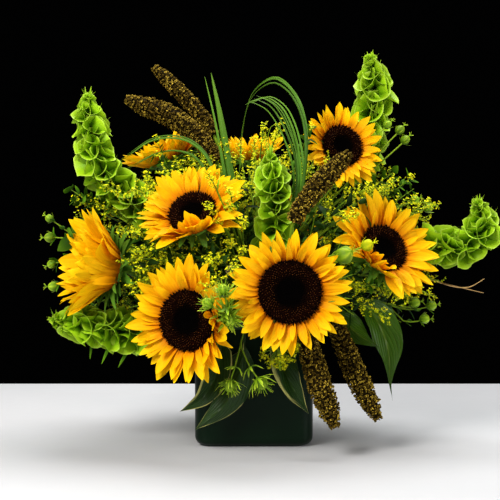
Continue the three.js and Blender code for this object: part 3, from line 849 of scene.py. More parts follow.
def sunflower(name, head):
    """One sunflower: its rays, disc, stem and sepals."""
    petals, florets, stamens, stem, sepals = (Batch() for _ in range(5))
    for count, turn, length, lift, inset, height, kept, curling in RAY_ROWS:
        ray_petals(petals, head, count, turn, length, lift, inset * MM, height * MM, kept, curling)
    petals.build(f"{name}_rays", petal_material, f"{name}_petals", "petal")
    disc_florets(florets, stamens, head)
    florets.build(f"{name}_florets", disc_material, f"{name}_disc", "disc")
    stamens.build(f"{name}_stamens", stamen_material, None, "disc")
    route = route_of(f"{name}_stem")
    tube(stem, route, lambda t: route.radius(t) * (1 + 0.03 * np.sin(40 * t)), sides=14, steps=48)
    stem.build(f"{name}_stalk", stem_material, f"{name}_stem", "stem")
    head_back(sepals, head)
    sepals.build(f"{name}_sepals", sepal_material, None, "stem")


for flower, flower_head in heads.items():
    sunflower(flower, flower_head)


# ---- bells of Ireland ---------------------------------------------------------------------------


def bell_shape():
    """One calyx along +Z: a cup of about unit mouth radius that flares to a ruffled lip with five low points.
    Returns points, faces, and for each vertex how far it is from the foot and its place round the cup."""
    sides = 25
    turn = np.arange(sides) / sides * 2 * math.pi
    share = np.array([0.0, 0.14, 0.30, 0.48, 0.66, 0.82, 0.93, 1.0])
    radius = np.array([0.12, 0.32, 0.52, 0.69, 0.82, 0.92, 1.0, 1.05])
    height = np.array([0.0, 0.16, 0.36, 0.57, 0.76, 0.90, 0.98, 1.01])
    phase = rng.uniform(0, 6.3, 5)
    points5 = (1 - np.abs(np.sin(2.5 * turn + phase[0]))) ** 2
    wave = 0.10 * np.cos(2 * turn + phase[1]) + 0.05 * np.cos(3 * turn + phase[2])
    out = 1 + wave * share[:, None] + 0.12 * points5 * share[:, None] ** 5
    ruffle = 0.15 * np.sin(2 * turn + phase[3]) + 0.04 * np.sin(5 * turn + phase[4]) + 0.07 * points5
    x = radius[:, None] * out * np.cos(turn)
    y = radius[:, None] * out * np.sin(turn)
    z = height[:, None] + ruffle * share[:, None] ** 3
    points = np.stack([x, y, z], axis=-1).reshape(-1, 3)
    faces = [grid_faces(len(share), sides, closed=True)]
    return points, faces, np.repeat(share, sides), np.tile(turn / 6.283, len(share))


def bell_bracts(batch, place, ways, length, width=0.09):
    """The thin pointed bracts that stand out between the calyces. width is a share of their length."""

    def half(t):
        return length * (width * (1 - t**1.6) * (0.4 + 1.2 * np.minimum(t, 0.5)) + 0.005)

    for way in ways:
        bend = square_to(way)[0] * rng.normal(0, 0.15) + UP * rng.normal(0.1, 0.15)
        line = Route([place, place + way * length * 0.5, place + way * length + bend * length])
        ribbon(batch, line, half, lambda t, u: 0.3 * u**2, rows=7, columns=3, tone=rng.uniform(0.4, 0.9))


def bell_spike(node):
    """A spike of calyces in whorls of four. Their size follows the CAD spike's rims."""
    route = route_of(node)
    rims = [i for i in range(1, len(route.radii) - 1)
            if route.radii[i] > max(route.radii[i - 1], route.radii[i + 1]) and route.radii[i] > 4 * MM]
    rim_share = np.append(route.knots[rims], 1.0)
    rim_radius = np.append(route.radii[rims], 6 * MM)
    nut, nut_faces = bud(6, ((0.0, 0.5), (0.5, 0.6), (0.9, 0.35)), 1.1)
    calyces, core, nutlets = (Batch() for _ in range(3))
    tube(core, route, lambda t: (2.4 - 1.2 * t) * MM, sides=10, steps=60, tone=0.6)
    place = route.knots[rims[0] - 2]
    spin = rng.uniform(0, 6)
    count = 4
    while place < 1 - 8 * MM / route.length:
        size = float(np.interp(place, rim_share, rim_radius))
        size = min(size, 2 * MM + 0.36 * (1 - place) * route.length)
        angles = spin + np.arange(count) / count * 2 * math.pi + rng.normal(0, 0.16, count)
        spin += math.pi / count
        across, face, along = route.axes(place)
        out = around(across, face, angles)
        tilt = np.radians(rng.normal(28 + 160 * max(0.0, place - 0.85), 10, count))
        ways = unit(out * np.cos(tilt)[:, None] + along * np.sin(tilt)[:, None])
        mouth = size * rng.normal(0.66, 0.06, count)
        origins = route.at(place) + out * 1.4 * MM
        frames = frames_along(ways, spread(count, 0, 6))
        for i in range(count):
            points, faces, share, turn = bell_shape()
            calyces.copies(points, faces, frames[i : i + 1], origins[i : i + 1], mouth[i], along=share,
                           across=turn, tone=rng.uniform(0, 1))
        nut_places = origins + ways * (0.16 * mouth)[:, None]
        nutlets.copies(nut, nut_faces, frames, nut_places, mouth * 0.22, along=0.8, tone=spread(count, 0, 1))
        gaps = around(across, face, angles + 0.6)[:2]
        bract = max(size, 9 * MM) * rng.uniform(1.0, 1.3)
        bell_bracts(nutlets, route.at(place), unit(gaps + along * 0.4), bract)
        place += 0.66 * size / route.length
    top = route.at(1 - 10 * MM / route.length)
    bell_bracts(calyces, top, unit(route.along(1.0) + random_directions(12) * 0.7), 12 * MM, 0.12)
    calyces.build(f"{node}_calyces", bell_material, node, "bell")
    core.build(f"{node}_stalk", sprig_material, None, "bell")
    nutlets.build(f"{node}_nutlets", sprig_material, None, "bell")


for number in range(1, 6):
    bell_spike(f"bells_of_ireland_{number}")


# ---- millet heads -------------------------------------------------------------------------------


def millet_head(node):
    """A dense head: small clusters of seeds in spirals round the stalk. Each seed has painted shade at its
    foot and a painted highlight at its outward tip, and how ripe and pale the seeds are differs at random."""
    route = route_of(node)
    thick = route.radii.max()
    start = route.knots[np.flatnonzero(route.radii > 0.35 * thick)[0]]
    stalk = Batch()
    tube(stalk, route, 1.7 * MM, sides=8, steps=36)
    stalk.build(f"{node}_stalk", sprig_material, None, "seed_head")

    def girth(t):
        """The head's radius from its foot to its tip, which is drawn in a little."""
        return route.radius(start + (1 - start) * t) * (1 - 0.35 * t**9)

    batch = Batch()
    # The core is coloured from the dark foot of the seed ramp: painted shade in the gaps between the clusters.
    tube(batch, route, lambda t: 0.80 * girth(t), sides=14, steps=40, start=start, tone=0.1, shade=0.06)
    length = route.length * (1 - start)
    pitch = 3.7 * MM
    rows = int(length / pitch)
    count = 8
    seed, seed_faces = bud(4, ((-0.35, 0.32), (0.25, 0.52)), 0.8)
    # Colour values for each seed's vertices: painted shade on its foot ring, mid on its middle ring, and a
    # painted highlight at its outward tip.
    seed_shade_and_highlight = np.array([0.15] * 4 + [0.65] * 4 + [1.0])
    for row in range(rows + 1):
        t = min((row + 0.4) / rows, 1.0)
        radius = float(girth(t))
        lumps = max(4, round(2 * math.pi * radius * 0.95 / pitch))
        turn = (np.arange(lumps) + 0.5 * (row % 2)) / lumps * 2 * math.pi + row * 0.12
        for angle in turn + rng.normal(0, 0.07, lumps):
            here = min(max(start + (1 - start) * t + rng.normal(0, 0.7 * MM) / route.length, 0), 1)
            across, face, along = route.axes(here)
            out = around(across, face, angle)
            middle = route.at(here) + out * radius * rng.uniform(0.70, 0.90)
            way = unit(random_directions(count) * 0.9 + out * 1.2 + along * 0.3)
            size = spread(count, 1.3, 1.8) * MM
            ripe = rng.uniform(0.45, 1.0) * rng.uniform(0.45, 1, count)[:, None]
            spots = middle + way * spread(count, 1.0, 2.2)[:, None] * MM
            batch.copies(seed, seed_faces, frames_along(way, spread(count, 0, 6)), spots, size,
                         along=seed_shade_and_highlight * ripe, tone=spread(count, 0, 1))
    batch.build(f"{node}_seeds", seed_material, node, "seed_head")


for number in range(1, 6):
    millet_head(f"millet_{number}")


# ---- grass --------------------------------------------------------------------------------------


def shifted(route, offset):
    """A flat route moved sideways, by more towards its tip."""
    shares = np.linspace(0, 1, 26)
    push = np.outer(shares**0.7, offset)
    widths = np.stack([np.interp(shares, route.knots, route.widths[:, k]) for k in range(3)], axis=1)
    return Route(route.at(shares) + push, route.radius(shares), widths)


def grass(node, extra, roll, wide=0.85):
    """A blade with a folded middle, and extra narrower ones beside it. roll turns them about their
    length, and wide is the first one's width as a share of the CAD blade's."""
    route = route_of(node, flat=True)
    batch = Batch()
    half = route.radii.max()
    for number in range(1 + extra):
        line = route if number == 0 else shifted(route, rng.normal(0, 5 * MM, 3))
        size = half * (wide if number == 0 else rng.uniform(0.5, 0.65))
        turn = roll + rng.normal(0, 0.3 * min(roll, 1.0), 2)

        def width(t, size=size):
            return size * np.minimum(1, 0.5 + 3 * t) * np.maximum(1.0 - t**1.8, 0.0) ** 0.75 + 0.15 * MM

        ribbon(batch, line, width, lambda t, u: 0.42 * np.abs(u) - 0.1, rows=70, columns=5,
               tone=rng.uniform(0, 1), roll=np.linspace(*turn, 70))
    batch.build(f"{node}_blades", grass_material, node, "grass")


grass("grass_blade", 1, 0.0, 1.6)
for number in range(1, 4):
    grass(f"grass_loop_{number}", 2, 0.7)
for number in range(1, 3):
    grass(f"grass_arc_{number}", 1, 0.9)


# ---- leaves -------------------------------------------------------------------------------------


def big_leaf(node, material, fold=0.45, wave=0.10, tail=0.0, narrow=1.0):
    """A broad leaf on a short stalk. fold is how steeply its halves rise from the midrib, wave how much
    their edges roll, tail how much of its width the last third loses, and narrow a share of the CAD leaf's
    width."""
    route = route_of(node, flat=True)
    wide = route.radii.max()
    start = route.knots[np.flatnonzero(route.radii > 0.2 * wide)[0] - 1]
    batch = Batch()
    tube(batch, route, 1.3 * MM, sides=8, steps=14, end=min(start + 0.06, 1))

    def width(t):
        taper = np.minimum(1, 6 * t + 0.05) * np.sqrt(1.0001 - t**6)
        taper = taper * (1 - tail * np.clip((t - 0.45) / 0.4, 0, 1) ** 1.3)
        return route.radius(start + (1 - start) * t) * taper * narrow

    def rise(t, u):
        side = np.abs(u)
        quilt = 0.035 * np.sin(9 * math.pi * (t - 0.28 * side)) * side
        edge = wave * u * side * np.sin(9 * t + 1.3) + 0.5 * wave * u**2 * np.sin(17 * t + 2 * np.sign(u))
        return fold * side - 0.28 * fold * side**2 + edge + quilt

    ribbon(batch, route, width, rise, rows=60, columns=21, start=start, tone=rng.uniform(0.3, 0.7))
    batch.build(f"{node}_blade", material, node, "leaf")


big_leaf("leaf_right_large", leaf_material, 0.85, 0.18, tail=0.8, narrow=0.85)
big_leaf("leaf_right_small", leaf_material, 0.7, 0.16, tail=0.3)
big_leaf("leaf_rim_left", variegated_material, 0.8, 0.18)
big_leaf("leaf_rim_front_left", variegated_material, 0.8, 0.20)
big_leaf("leaf_rim_front_right", variegated_material, 0.7, 0.16)


# ---- fine greens --------------------------------------------------------------------------------


class Greens:
    """The pieces that fine sprays are gathered in: their stems, their florets and their small leaves."""

    def __init__(self):
        self.stems = Batch()
        self.florets = Batch()
        self.leaves = Batch()

    def build(self, name, node=None, slot="goldenrod", leaf_surface=None):
        """Makes the pieces that hold anything. The stems stand for the CAD node, where one is named."""
        self.stems.build(f"{name}_stems", sprig_material, node, slot)
        if self.florets.count:
            self.florets.build(f"{name}_florets", floret_material, None, "goldenrod")
        if self.leaves.count:
            self.leaves.build(f"{name}_leaves", leaf_surface or frond_material, None, "leaf")


def thread(batch, points, thick, thin, tone=0.5, sides=4, steps=None):
    """A thin tapering stem through a few points."""
    route = Route(points)
    count = steps or max(3, int(route.length / (9 * MM)) + 2)
    tube(batch, route, lambda t: thick + (thin - thick) * t, sides=sides, steps=count, tone=tone, closed=False)
    return route


def star():
    """A five-pointed floret of about unit size that opens along +Z. Returns points and faces."""
    turn = np.arange(5) * 2 * math.pi / 5
    points = np.zeros((11, 3))
    points[0, 2] = 0.25
    points[1::2] = np.stack([np.cos(turn) * 0.62, np.sin(turn) * 0.62, np.full(5, 0.42)], axis=1)
    points[2::2, :2] = np.stack([np.cos(turn + 0.63), np.sin(turn + 0.63)], axis=1) * 0.2
    tips = range(1, 11, 2)
    return points, [np.array([[0, k, k + 1] for k in tips] + [[0, k + 1, (k + 1) % 10 + 1] for k in tips])]


STAR = star()


def feathery(greens, start, way, length, droop=0.25, fullness=1.0, bloom=1.0):
    """A goldenrod spray: an arching stem with short side sprigs, each carrying clusters of tiny florets."""
    way = unit(way)
    side, other = square_to(way)
    bend = rng.normal(0, 0.12, 2)
    bend = side * bend[0] + other * bend[1]
    shape = ((0, 0, 0), (0.35, 0.3, 0), (0.7, 0.6, 0.3), (1, 0.7, 0.8))
    knots = [start + (way * ahead + bend * aside - UP * droop * fall) * length for ahead, aside, fall in shape]
    line = thread(greens.stems, knots, 0.9 * MM, 0.4 * MM, tone=rng.uniform(0, 1), sides=5)
    sprigs = int(length / (4.6 * MM) * fullness)
    for i in range(sprigs):
        share = 0.34 + 0.66 * (i + 0.5) / sprigs
        base = line.at(share)
        along = line.along(share)
        out = unit(around(*square_to(along), i * GOLDEN_ANGLE) + along * rng.uniform(0.5, 1.1))
        reach = length * rng.uniform(0.13, 0.24) * (1.25 - 0.8 * share)
        line_out = [base, base + out * reach * 0.55, base + out * reach + UP * reach * 0.12]
        curve = thread(greens.stems, line_out, 0.4 * MM, 0.22 * MM, tone=rng.uniform(0, 1), sides=3, steps=3)
        count = max(3, int(reach / (1.5 * MM) * bloom))
        spots = curve.at(np.linspace(0.25, 1.0, count)) + rng.normal(0, 0.8 * MM, (count, 3))
        ways = unit(UP * 0.7 + rng.normal(0, 0.6, (count, 3)) + out)
        frames = frames_along(ways, spread(count, 0, 6))
        greens.florets.copies(*STAR, frames, spots, spread(count, 1.9, 3.3) * MM,
                              along=spread(count, 0.25, 1.0), tone=spread(count, 0, 1))


def small_leaf(greens, start, way, facing, length, shape=0.32, grid=(7, 5)):
    """One leaf of a filler stem: a thin blade along way with its face towards facing."""
    way = unit(way)
    across = unit(np.cross(facing, way))
    normal = np.cross(way, across)
    bend = rng.normal(-0.15, 0.15)
    knots = [start + (way * ahead + normal * off) * length for ahead, off in ((0, 0), (0.5, 0.06), (1, bend))]
    line = Route(knots, widths=np.array([across] * 3))

    def half(t):
        return length * shape * 0.5 * np.sin(math.pi * (0.04 + 0.95 * t**0.8)) ** 0.8

    ribbon(greens.leaves, line, half, lambda t, u: 0.35 * np.abs(u), rows=grid[0], columns=grid[1],
           tone=rng.uniform(0, 1))


def leafy(greens, start, way, length, leaf=15 * MM, shape=0.5, tip_bloom=0.0, grid=(7, 5)):
    """A filler stem with leaves in pairs and, where asked, a small cluster of florets at its tip."""
    way = unit(way)
    first, second = square_to(way)
    sway = rng.normal(0, 0.12, 2)
    end = start + way * length + (first * sway[0] + second * sway[1]) * length
    line = thread(greens.stems, [start, start + way * length * 0.5, end], 0.9 * MM, 0.45 * MM,
                  tone=rng.uniform(0, 1), sides=5)
    pairs = max(2, int(length / (leaf * 0.75)))
    for i in range(pairs):
        share = 0.25 + 0.75 * (i + 0.6) / pairs
        base = line.at(min(share, 1.0))
        along = line.along(min(share, 1.0))
        for half in range(2):
            out = around(*square_to(along), i * 1.9 + half * math.pi + rng.normal(0, 0.3))
            small_leaf(greens, base, out + along * rng.uniform(0.3, 0.9), along + 0.3 * rng.normal(size=3),
                       leaf * rng.uniform(0.75, 1.2), shape, grid)
    if tip_bloom:
        count = int(26 * tip_bloom)
        spots = end + random_directions(count) * spread(count, 1, 6)[:, None] * MM
        greens.florets.copies(*STAR, frames_along(unit(spots - end + 0.004 * way)), spots,
                              spread(count, 1.9, 3.0) * MM, along=spread(count, 0.4, 1),
                               tone=spread(count, 0, 1))


# The goldenrods take their limbs from the CAD, and each limb becomes a feathery spray.
for number in range(1, 5):
    node = f"goldenrod_{number}"
    limbs = limbs_of(node, 9 * MM)
    greens = Greens()
    stem = limbs[0]
    thread(greens.stems, stem[:: max(1, len(stem) // 7)], 1.5 * MM, 0.35 * MM, sides=7, steps=24)
    for limb in limbs:
        run = np.concatenate([[0], np.cumsum(np.linalg.norm(np.diff(limb, axis=0), axis=1))])
        span = min(42 * MM, 0.4 * run[-1])
        base = np.array([np.interp(run[-1] - span, run, limb[:, k]) for k in range(3)])
        feathery(greens, base, limb[-1] - base, span * 1.02, droop=0.05, fullness=1.6, bloom=1.3)
    greens.build(node, node)


# ---- the dome of filler greens ------------------------------------------------------------------

# How far the fine greens reach, as points given in shares of the CAD's box: right, back and up.
OUTLINE = np.array([
    (0.49, 0.54, 0.81),  # top
    (0.28, 0.62, 0.76),  # top left
    (0.39, 0.51, 0.74),
    (0.79, 0.51, 0.64),  # right of the tall spike
    (0.86, 0.51, 0.59),  # right
    (0.82, 0.48, 0.50),
    (0.69, 0.42, 0.38),
    (0.64, 0.36, 0.28),  # low right
    (0.13, 0.51, 0.60),  # upper left
    (0.07, 0.48, 0.53),  # left
    (0.09, 0.46, 0.44),
    (0.17, 0.40, 0.30),
    (0.31, 0.31, 0.25),  # low left
    (0.47, 0.22, 0.26),  # low front
    (0.43, 0.18, 0.48),  # front
    (0.63, 0.18, 0.52),
    (0.23, 0.24, 0.46),
    (0.45, 0.24, 0.61),  # upper front
    (0.67, 0.34, 0.64),
    (0.25, 0.37, 0.62),
    (0.47, 0.90, 0.48),  # back
    (0.25, 0.82, 0.49),
    (0.71, 0.80, 0.48),
    (0.47, 0.82, 0.28),  # low back
    (0.15, 0.69, 0.35),
    (0.80, 0.69, 0.35),
    (0.47, 0.79, 0.71),  # top back
    (0.29, 0.81, 0.68),
    (0.67, 0.79, 0.69),
])
box_low, box_high = (np.array(v) for v in cad_box)
dome_centre = foam_top + UP * 10 * MM
outline = box_low + OUTLINE * (box_high - box_low) - dome_centre
outline_ways = unit(outline)
outline_reach = np.linalg.norm(outline, axis=1)
clear_spikes = [route_of(f"bells_of_ireland_{number}") for number in (3, 5)]
spike_spots = np.vstack([spike.at(np.linspace(0.3, 1.0, 6)) for spike in clear_spikes])


def dome_reach(way):
    """How far the fine greens reach in a direction: that of the outline's points, weighted by how near
    they are."""
    near = np.exp(16 * (outline_ways @ way - 1))
    return float(np.sum(near * outline_reach) / np.sum(near))


def room_along(start, way, reach):
    """How far a spray may go before it comes out in front of a flower's face or of a spike of bells in the
    middle or on the right, or beyond the CAD's box."""
    for head in heads.values():
        toward = np.dot(way, head.facing)
        if toward <= 0.05:
            continue
        to_plane = np.dot(head.centre - start, head.facing) / toward
        if to_plane <= 0:
            continue
        away = np.linalg.norm(start + way * to_plane - head.centre)
        if away < head.radius + 0.85 * head.lengths.mean():
            reach = min(reach, to_plane - 18 * MM)
    for spot in spike_spots:
        to_spot = np.dot(spot - start, way)
        if to_spot > 0 and np.linalg.norm(start + way * to_spot - spot) < 26 * MM:
            reach = min(reach, to_spot - 14 * MM)
    wall = np.where(way > 0, box_high, box_low)
    return min(reach, float(np.min((wall - start) / np.where(np.abs(way) < 1e-6, 1e-6, way))))




def dome_way(i, count, span, deep, spin=0.0):
    """The direction of the i-th of count sprays. They are spread evenly from the top to below the dome's
    middle."""
    height = 1 - (i + 0.5) / count * span
    flat = math.sqrt(max(0.0, 1 - height * height))
    angle = i * GOLDEN_ANGLE + spin
    return unit(np.array([flat * math.cos(angle) * 1.1, flat * math.sin(angle) * deep, height]))


def filler_sprays():
    """Goldenrod sprays on long stems, every fifth a leafy one, whose tips make the dome's surface."""
    filler = Greens()
    count = 210
    lowest_tip = 90 * MM
    for i in range(count):
        way = dome_way(i, count, 1.16, 0.95)
        foot = np.array([way[0], way[1], 0]) * 0.035 + dome_centre + UP * 5 * MM
        reach = room_along(foot, way, dome_reach(way) * rng.uniform(0.84, 1.06))
        tip = foot + way * reach
        if reach < 40 * MM or tip[2] < lowest_tip:
            continue
        length = min(reach * 0.6, rng.uniform(55, 90) * MM)
        start = tip - way * length
        thread(filler.stems, [foot, (foot + start) / 2 + UP * 6 * MM, start], 1.3 * MM, 0.9 * MM, sides=5)
        if i % 5 == 0:
            lean = way + 0.2 * rng.normal(size=3)
            leafy(filler, start, lean, length, leaf=11 * MM, tip_bloom=rng.uniform(0.5, 1.2))
        else:
            feathery(filler, start, way + 0.12 * rng.normal(size=3), length, fullness=1.1)
    filler.build("filler", slot="stem")


def backing_stems():
    """Shorter leafy stems that close the dome behind the sprays."""
    backing = Greens()
    count = 170
    for i in range(count):
        way = dome_way(i, count, 1.2, 1.0, 1.0)
        foot = np.array([way[0], way[1], 0]) * 0.03 + dome_centre + UP * 3 * MM
        reach = room_along(foot, way, dome_reach(way) * rng.uniform(0.45, 0.85))
        if reach > 25 * MM:
            leafy(backing, foot, way, reach, leaf=rng.uniform(13, 22) * MM, shape=0.34, grid=(6, 3))
    backing.build("backing", slot="stem", leaf_surface=shade_material)


filler_sprays()
backing_stems()


# ---- pods, thistles, umbel and twig -------------------------------------------------------------


def ribbed_pod(batch, middle, way, size, tone, ribs=5, depth=0.10):
    """A pod along way, drawn in between its ribs, with painted shade in the grooves between them."""
    turn = np.linspace(0, 2 * math.pi, 21)[:-1]
    up = np.linspace(-math.pi / 2, math.pi / 2, 11)
    girth = np.cos(up)[:, None] * (1 + depth * np.cos(ribs * turn)) * size
    frame = frames_along(way[None])[0]
    x = girth * np.cos(turn)
    y = girth * np.sin(turn)
    z = np.sin(up)[:, None] * size * 1.15 * np.ones((11, 20))
    points = middle + x[..., None] * frame[0] + y[..., None] * frame[1] + z[..., None] * frame[2]
    # Colour value: darker towards the pod's foot, and darker in the grooves between the ribs as painted shade.
    colour = (np.sin(up)[:, None] + 1) / 2 * (0.75 + 0.25 * np.cos(ribs * turn))
    batch.add(points, [grid_faces(11, 20, closed=True)], colour, 0, tone)
    return frame


def horns(batch, middle, way, frame, size):
    """The five curved horns at a seed pod's top."""
    top = middle + way * size
    for k in range(5):
        out = around(frame[0], frame[1], k / 5 * 2 * math.pi + rng.normal(0, 0.2))
        bend = top + (way * 0.6 + out * 0.15) * size
        tip = top + (way * rng.uniform(0.8, 1.2) + out * rng.uniform(0.5, 0.9)) * size
        thread(batch, [top, bend, tip], 0.5 * MM, 0.15 * MM, tone=0.9, sides=4, steps=5)


def ruff(batch, root, way, frame, count, length, lean, width):
    """Long narrow bracts that spread from root. lean is how far they point along way, from 0 to 1."""
    for k in range(count):
        out = around(frame[0], frame[1], k / count * 2 * math.pi + rng.normal(0, 0.25))
        reach = length * rng.uniform(0.75, 1.15)
        tip = root + out * reach + way * reach * lean * rng.uniform(0.4, 1.6)
        middle = root + out * reach * 0.55 + way * reach * lean * 0.25
        line = Route([root, middle, tip], widths=np.array([np.cross(out, way)] * 3))
        ribbon(batch, line, lambda t: width * (0.5 + 1.6 * t) * (1 - t) ** 0.8 * 1.4 + 0.1 * MM,
               lambda t, u: 0.3 * np.abs(u), rows=8, columns=3, tone=rng.uniform(0.3, 0.7))


def pod_head(batch, middle, way, size, spiky, tone):
    """A pod in its ruff of bracts: one with spines all over, or one with horns at its top."""
    frame = ribbed_pod(batch, middle, way, size, tone)
    root = middle - way * size * 0.95
    if spiky:
        for spike in random_directions(60):
            reach = rng.uniform(1.4, 2.2)
            tip = middle + (spike * reach + way * 0.4 * (reach - 1)) * size
            spine = [middle + spike * size * 0.8, tip]
            thread(batch, spine, 0.42 * MM, 0.10 * MM, tone=rng.uniform(0.3, 1), sides=3, steps=3)
        ruff(batch, root, way, frame, 13, 2.9 * size, 0.5, 0.9 * MM)
    else:
        horns(batch, middle, way, frame, size)
        ruff(batch, root, way, frame, 7, 1.6 * size, 0.7, 0.6 * MM)


def pod_sprig(node, pod, spiky):
    """A branching sprig with a ribbed pod at each end, in a ruff of bracts, and a whorl of leaves at each
    fork."""
    limbs = limbs_of(node, 1.4 * pod)
    greens = Greens()
    pods = Batch()
    for limb in limbs:
        way = unit(limb[-1] - limb[max(0, len(limb) - 4)])
        middle = limb[-1] - way * pod * 0.95
        keep = np.linalg.norm(limb - middle, axis=1) > pod * 0.9
        line = np.vstack([limb[keep][:: max(1, int(keep.sum()) // 7)], middle])
        route = thread(greens.stems, line, 1.1 * MM, 0.7 * MM, sides=6, steps=22)
        pod_head(pods, middle, way, pod * rng.uniform(0.6, 0.78), spiky, rng.uniform(0, 1))
        for back in (22, 36):
            share = 1 - back * MM / route.length
            along = route.along(share)
            side, other = square_to(along)
            if spiky:
                ruff(pods, route.at(share), along, np.stack([side, other]), 6, 13 * MM, 0.5, 1.3 * MM)
            else:
                out = around(side, other, rng.uniform(0, 6))
                for way in (out, -out):
                    small_leaf(greens, route.at(share), way + 0.8 * along, along + UP, 12 * MM, 0.42)
    greens.build(node, node, "pod")
    pods.build(f"{node}_pods", pod_material, None, "pod")


pod_sprig("nigella_left", 7 * MM, False)
pod_sprig("nigella_right", 8 * MM, False)
pod_sprig("thistle_low", 8 * MM, True)
pod_sprig("thistle_high", 7 * MM, True)


def umbel(node):
    """A flat cluster of small yellow-green florets on spokes."""
    limb = limbs_of(node, 30 * MM)[0]
    way = unit(limb[-1] - limb[len(limb) // 2])
    reach = 14 * MM
    batch = Greens()
    root = limb[-1] - way * reach * 1.9
    keep = np.linalg.norm(limb - root, axis=1) > 8 * MM
    line = np.vstack([limb[keep][:: max(1, int(keep.sum()) // 6)], root])
    thread(batch.stems, line, 1.2 * MM, 0.8 * MM, sides=6, steps=20)
    for spoke in unit(random_directions(34) * 0.9 + way * 0.9):
        end = root + spoke * reach * rng.uniform(1.3, 1.8)
        ray = [root, (root + end) / 2 + way * 1.5 * MM, end]
        thread(batch.stems, ray, 0.45 * MM, 0.3 * MM, sides=4, steps=5)
        count = 9
        spots = end + random_directions(count) * spread(count, 1.5, 4.0)[:, None] * MM
        frames = frames_along(spots - end + spoke * 2 * MM)
        batch.florets.copies(*STAR, frames, spots, spread(count, 2.2, 3.2) * MM,
                             along=spread(count, 0.2, 1.0), tone=spread(count, 0, 0.6))
    batch.build(node, node)


umbel("fennel_umbel")


# ---- pieces that stand out of the dome ----------------------------------------------------------

# Places are millimetres right, back and up from a sunflower's centre. Leafy stems also have a length and a
# leaf length, and single pods a radius.
LEAFY_STEMS = (
    ("sunflower_4", (-56, 49, 83), 66, 15), ("sunflower_4", (-36, 49, 78), 50, 13),
    ("sunflower_4", (-50, 34, 40), 62, 19), ("sunflower_4", (-12, 49, 96), 60, 14),
    ("sunflower_5", (62, 20, -24), 60, 15), ("sunflower_6", (40, 60, 62), 60, 13),
)
SINGLE_PODS = (
    ("sunflower_5", (68, 28, 19), 5), ("sunflower_5", (54, 28, 25), 4.5), ("sunflower_5", (74, 28, 8), 5),
    ("sunflower_6", (58, 76, 42), 5), ("sunflower_6", (43, 76, 51), 4.5), ("sunflower_6", (-44, -46, -3), 9),
)
YELLOW_BUD = ("sunflower_6", (-20, -44, 7), 6)
HANGING_SPRAYS = {
    "sunflower_3": ((19, -36, 20), (27, -38, 2), (32, -38, -20), (18, -38, 47), (38, -40, 22), (46, -40, 0),
                    (50, -40, -24), (34, -40, 40)),
    "sunflower_6": ((-30, -40, 50),),
    "sunflower_8": ((12, -58, 46), (27, -58, 36), (2, -58, 32), (40, -58, 24), (-12, -62, 26)),
    "sunflower_4": ((6, -36, 46), (13, -36, 22), (16, -36, -2), (24, -38, 36), (27, -38, 10), (22, -38, -16)),
}


def beside(flower, offset):
    return heads[flower].centre + np.array(offset) * MM


def stalk_towards(greens, tip, short, sway=0.0):
    """A stalk from the foam that ends short of tip by that much. Returns its end and its direction there."""
    way = unit(tip - dome_centre + sway)
    end = tip - way * short
    knots = [dome_centre, (dome_centre + end) / 2 + UP * 6 * MM, end]
    thread(greens.stems, knots, 1.2 * MM, 0.84 * MM, sides=6, steps=24)
    return end, way


def small_cone(greens):
    """A small brown cone: rounded scales in a spiral on an egg shape."""
    middle = beside("sunflower_1", (44, 8, 50))
    _, way = stalk_towards(greens, middle, 6 * MM)
    scales = 70
    k = (np.arange(scales) + 0.5) / scales
    girth = np.sqrt(np.clip(1 - (2 * k - 1) ** 2, 0.02, 1)) * 6 * MM
    out = around(*square_to(way), np.arange(scales) * GOLDEN_ANGLE)
    spots = middle + way * ((k - 0.5) * 16 * MM)[:, None] + out * (girth * 0.75)[:, None]
    scale, scale_faces = bud(5, ((-0.3, 0.5), (0.3, 0.55)), 0.8)
    # Each scale runs from near-black at its foot, painted shade where the scales overlap, to a paler tip.
    shade = np.repeat([0.0, 0.4, 1.0], [5, 5, 1])
    cone = Batch()
    cone.copies(scale, scale_faces, frames_along(out + 0.8 * way), spots, 2.6 * MM, along=shade,
                tone=spread(scales, 0, 1))
    cone.build("small_cone", cone_material, None, "pod")


def outliers():
    """Leafy stems and pods that stand out of the dome beside the flowers, sprays and a folded leaf in
    front of some of them, and thin leaves that hang under the low spike of bells."""
    greens = Greens()
    pods = Batch()
    bud_batch = Batch()
    for flower, offset, length, leaf in LEAFY_STEMS:
        start, way = stalk_towards(greens, beside(flower, offset), length * MM)
        leafy(greens, start, way, length * MM, leaf=leaf * MM, shape=0.72)
    for batch, singles in ((pods, SINGLE_PODS), (bud_batch, (YELLOW_BUD,))):
        for flower, offset, size in singles:
            middle = beside(flower, offset)
            _, way = stalk_towards(greens, middle, size * MM, rng.normal(0, 0.02, 3))
            pod_head(batch, middle, way, size * MM, False, rng.uniform(0, 1))
    reach = 46 * MM
    for flower, offsets in HANGING_SPRAYS.items():
        for offset in offsets:
            start, way = stalk_towards(greens, beside(flower, offset), reach)
            feathery(greens, start, way, reach, fullness=1.2, bloom=1.2)
    low_spike = route_of("bells_of_ireland_4")
    facing = np.array([0.2, -1.0, 0.3])
    for share, length in ((0.55, 28), (0.68, 24), (0.2, 26), (0.42, 30)):
        way = np.array([rng.uniform(-0.8, 0.2), -0.2, -1.0])
        small_leaf(greens, low_spike.at(share) - UP * 12 * MM, way, facing, length * MM, 0.13)
    foot, _ = stalk_towards(greens, beside("sunflower_3", (27, -42, 24)), 0.0)
    fold = Route([foot, foot + np.array([-1, 0, 8]) * MM, foot + np.array([2, 1, 17]) * MM])
    ribbon(pods, fold, lambda t: 4.5 * MM * np.sin(math.pi * np.clip(t, 0.02, 0.99)) ** 0.8,
           lambda t, u: 0.4 * np.abs(u), rows=12, columns=5, tone=0.8)
    small_cone(greens)
    greens.build("outlier", slot="stem")
    pods.build("outlier_pods", pod_material, None, "pod")
    bud_batch.build("outlier_bud", floret_material, None, "pod")


outliers()


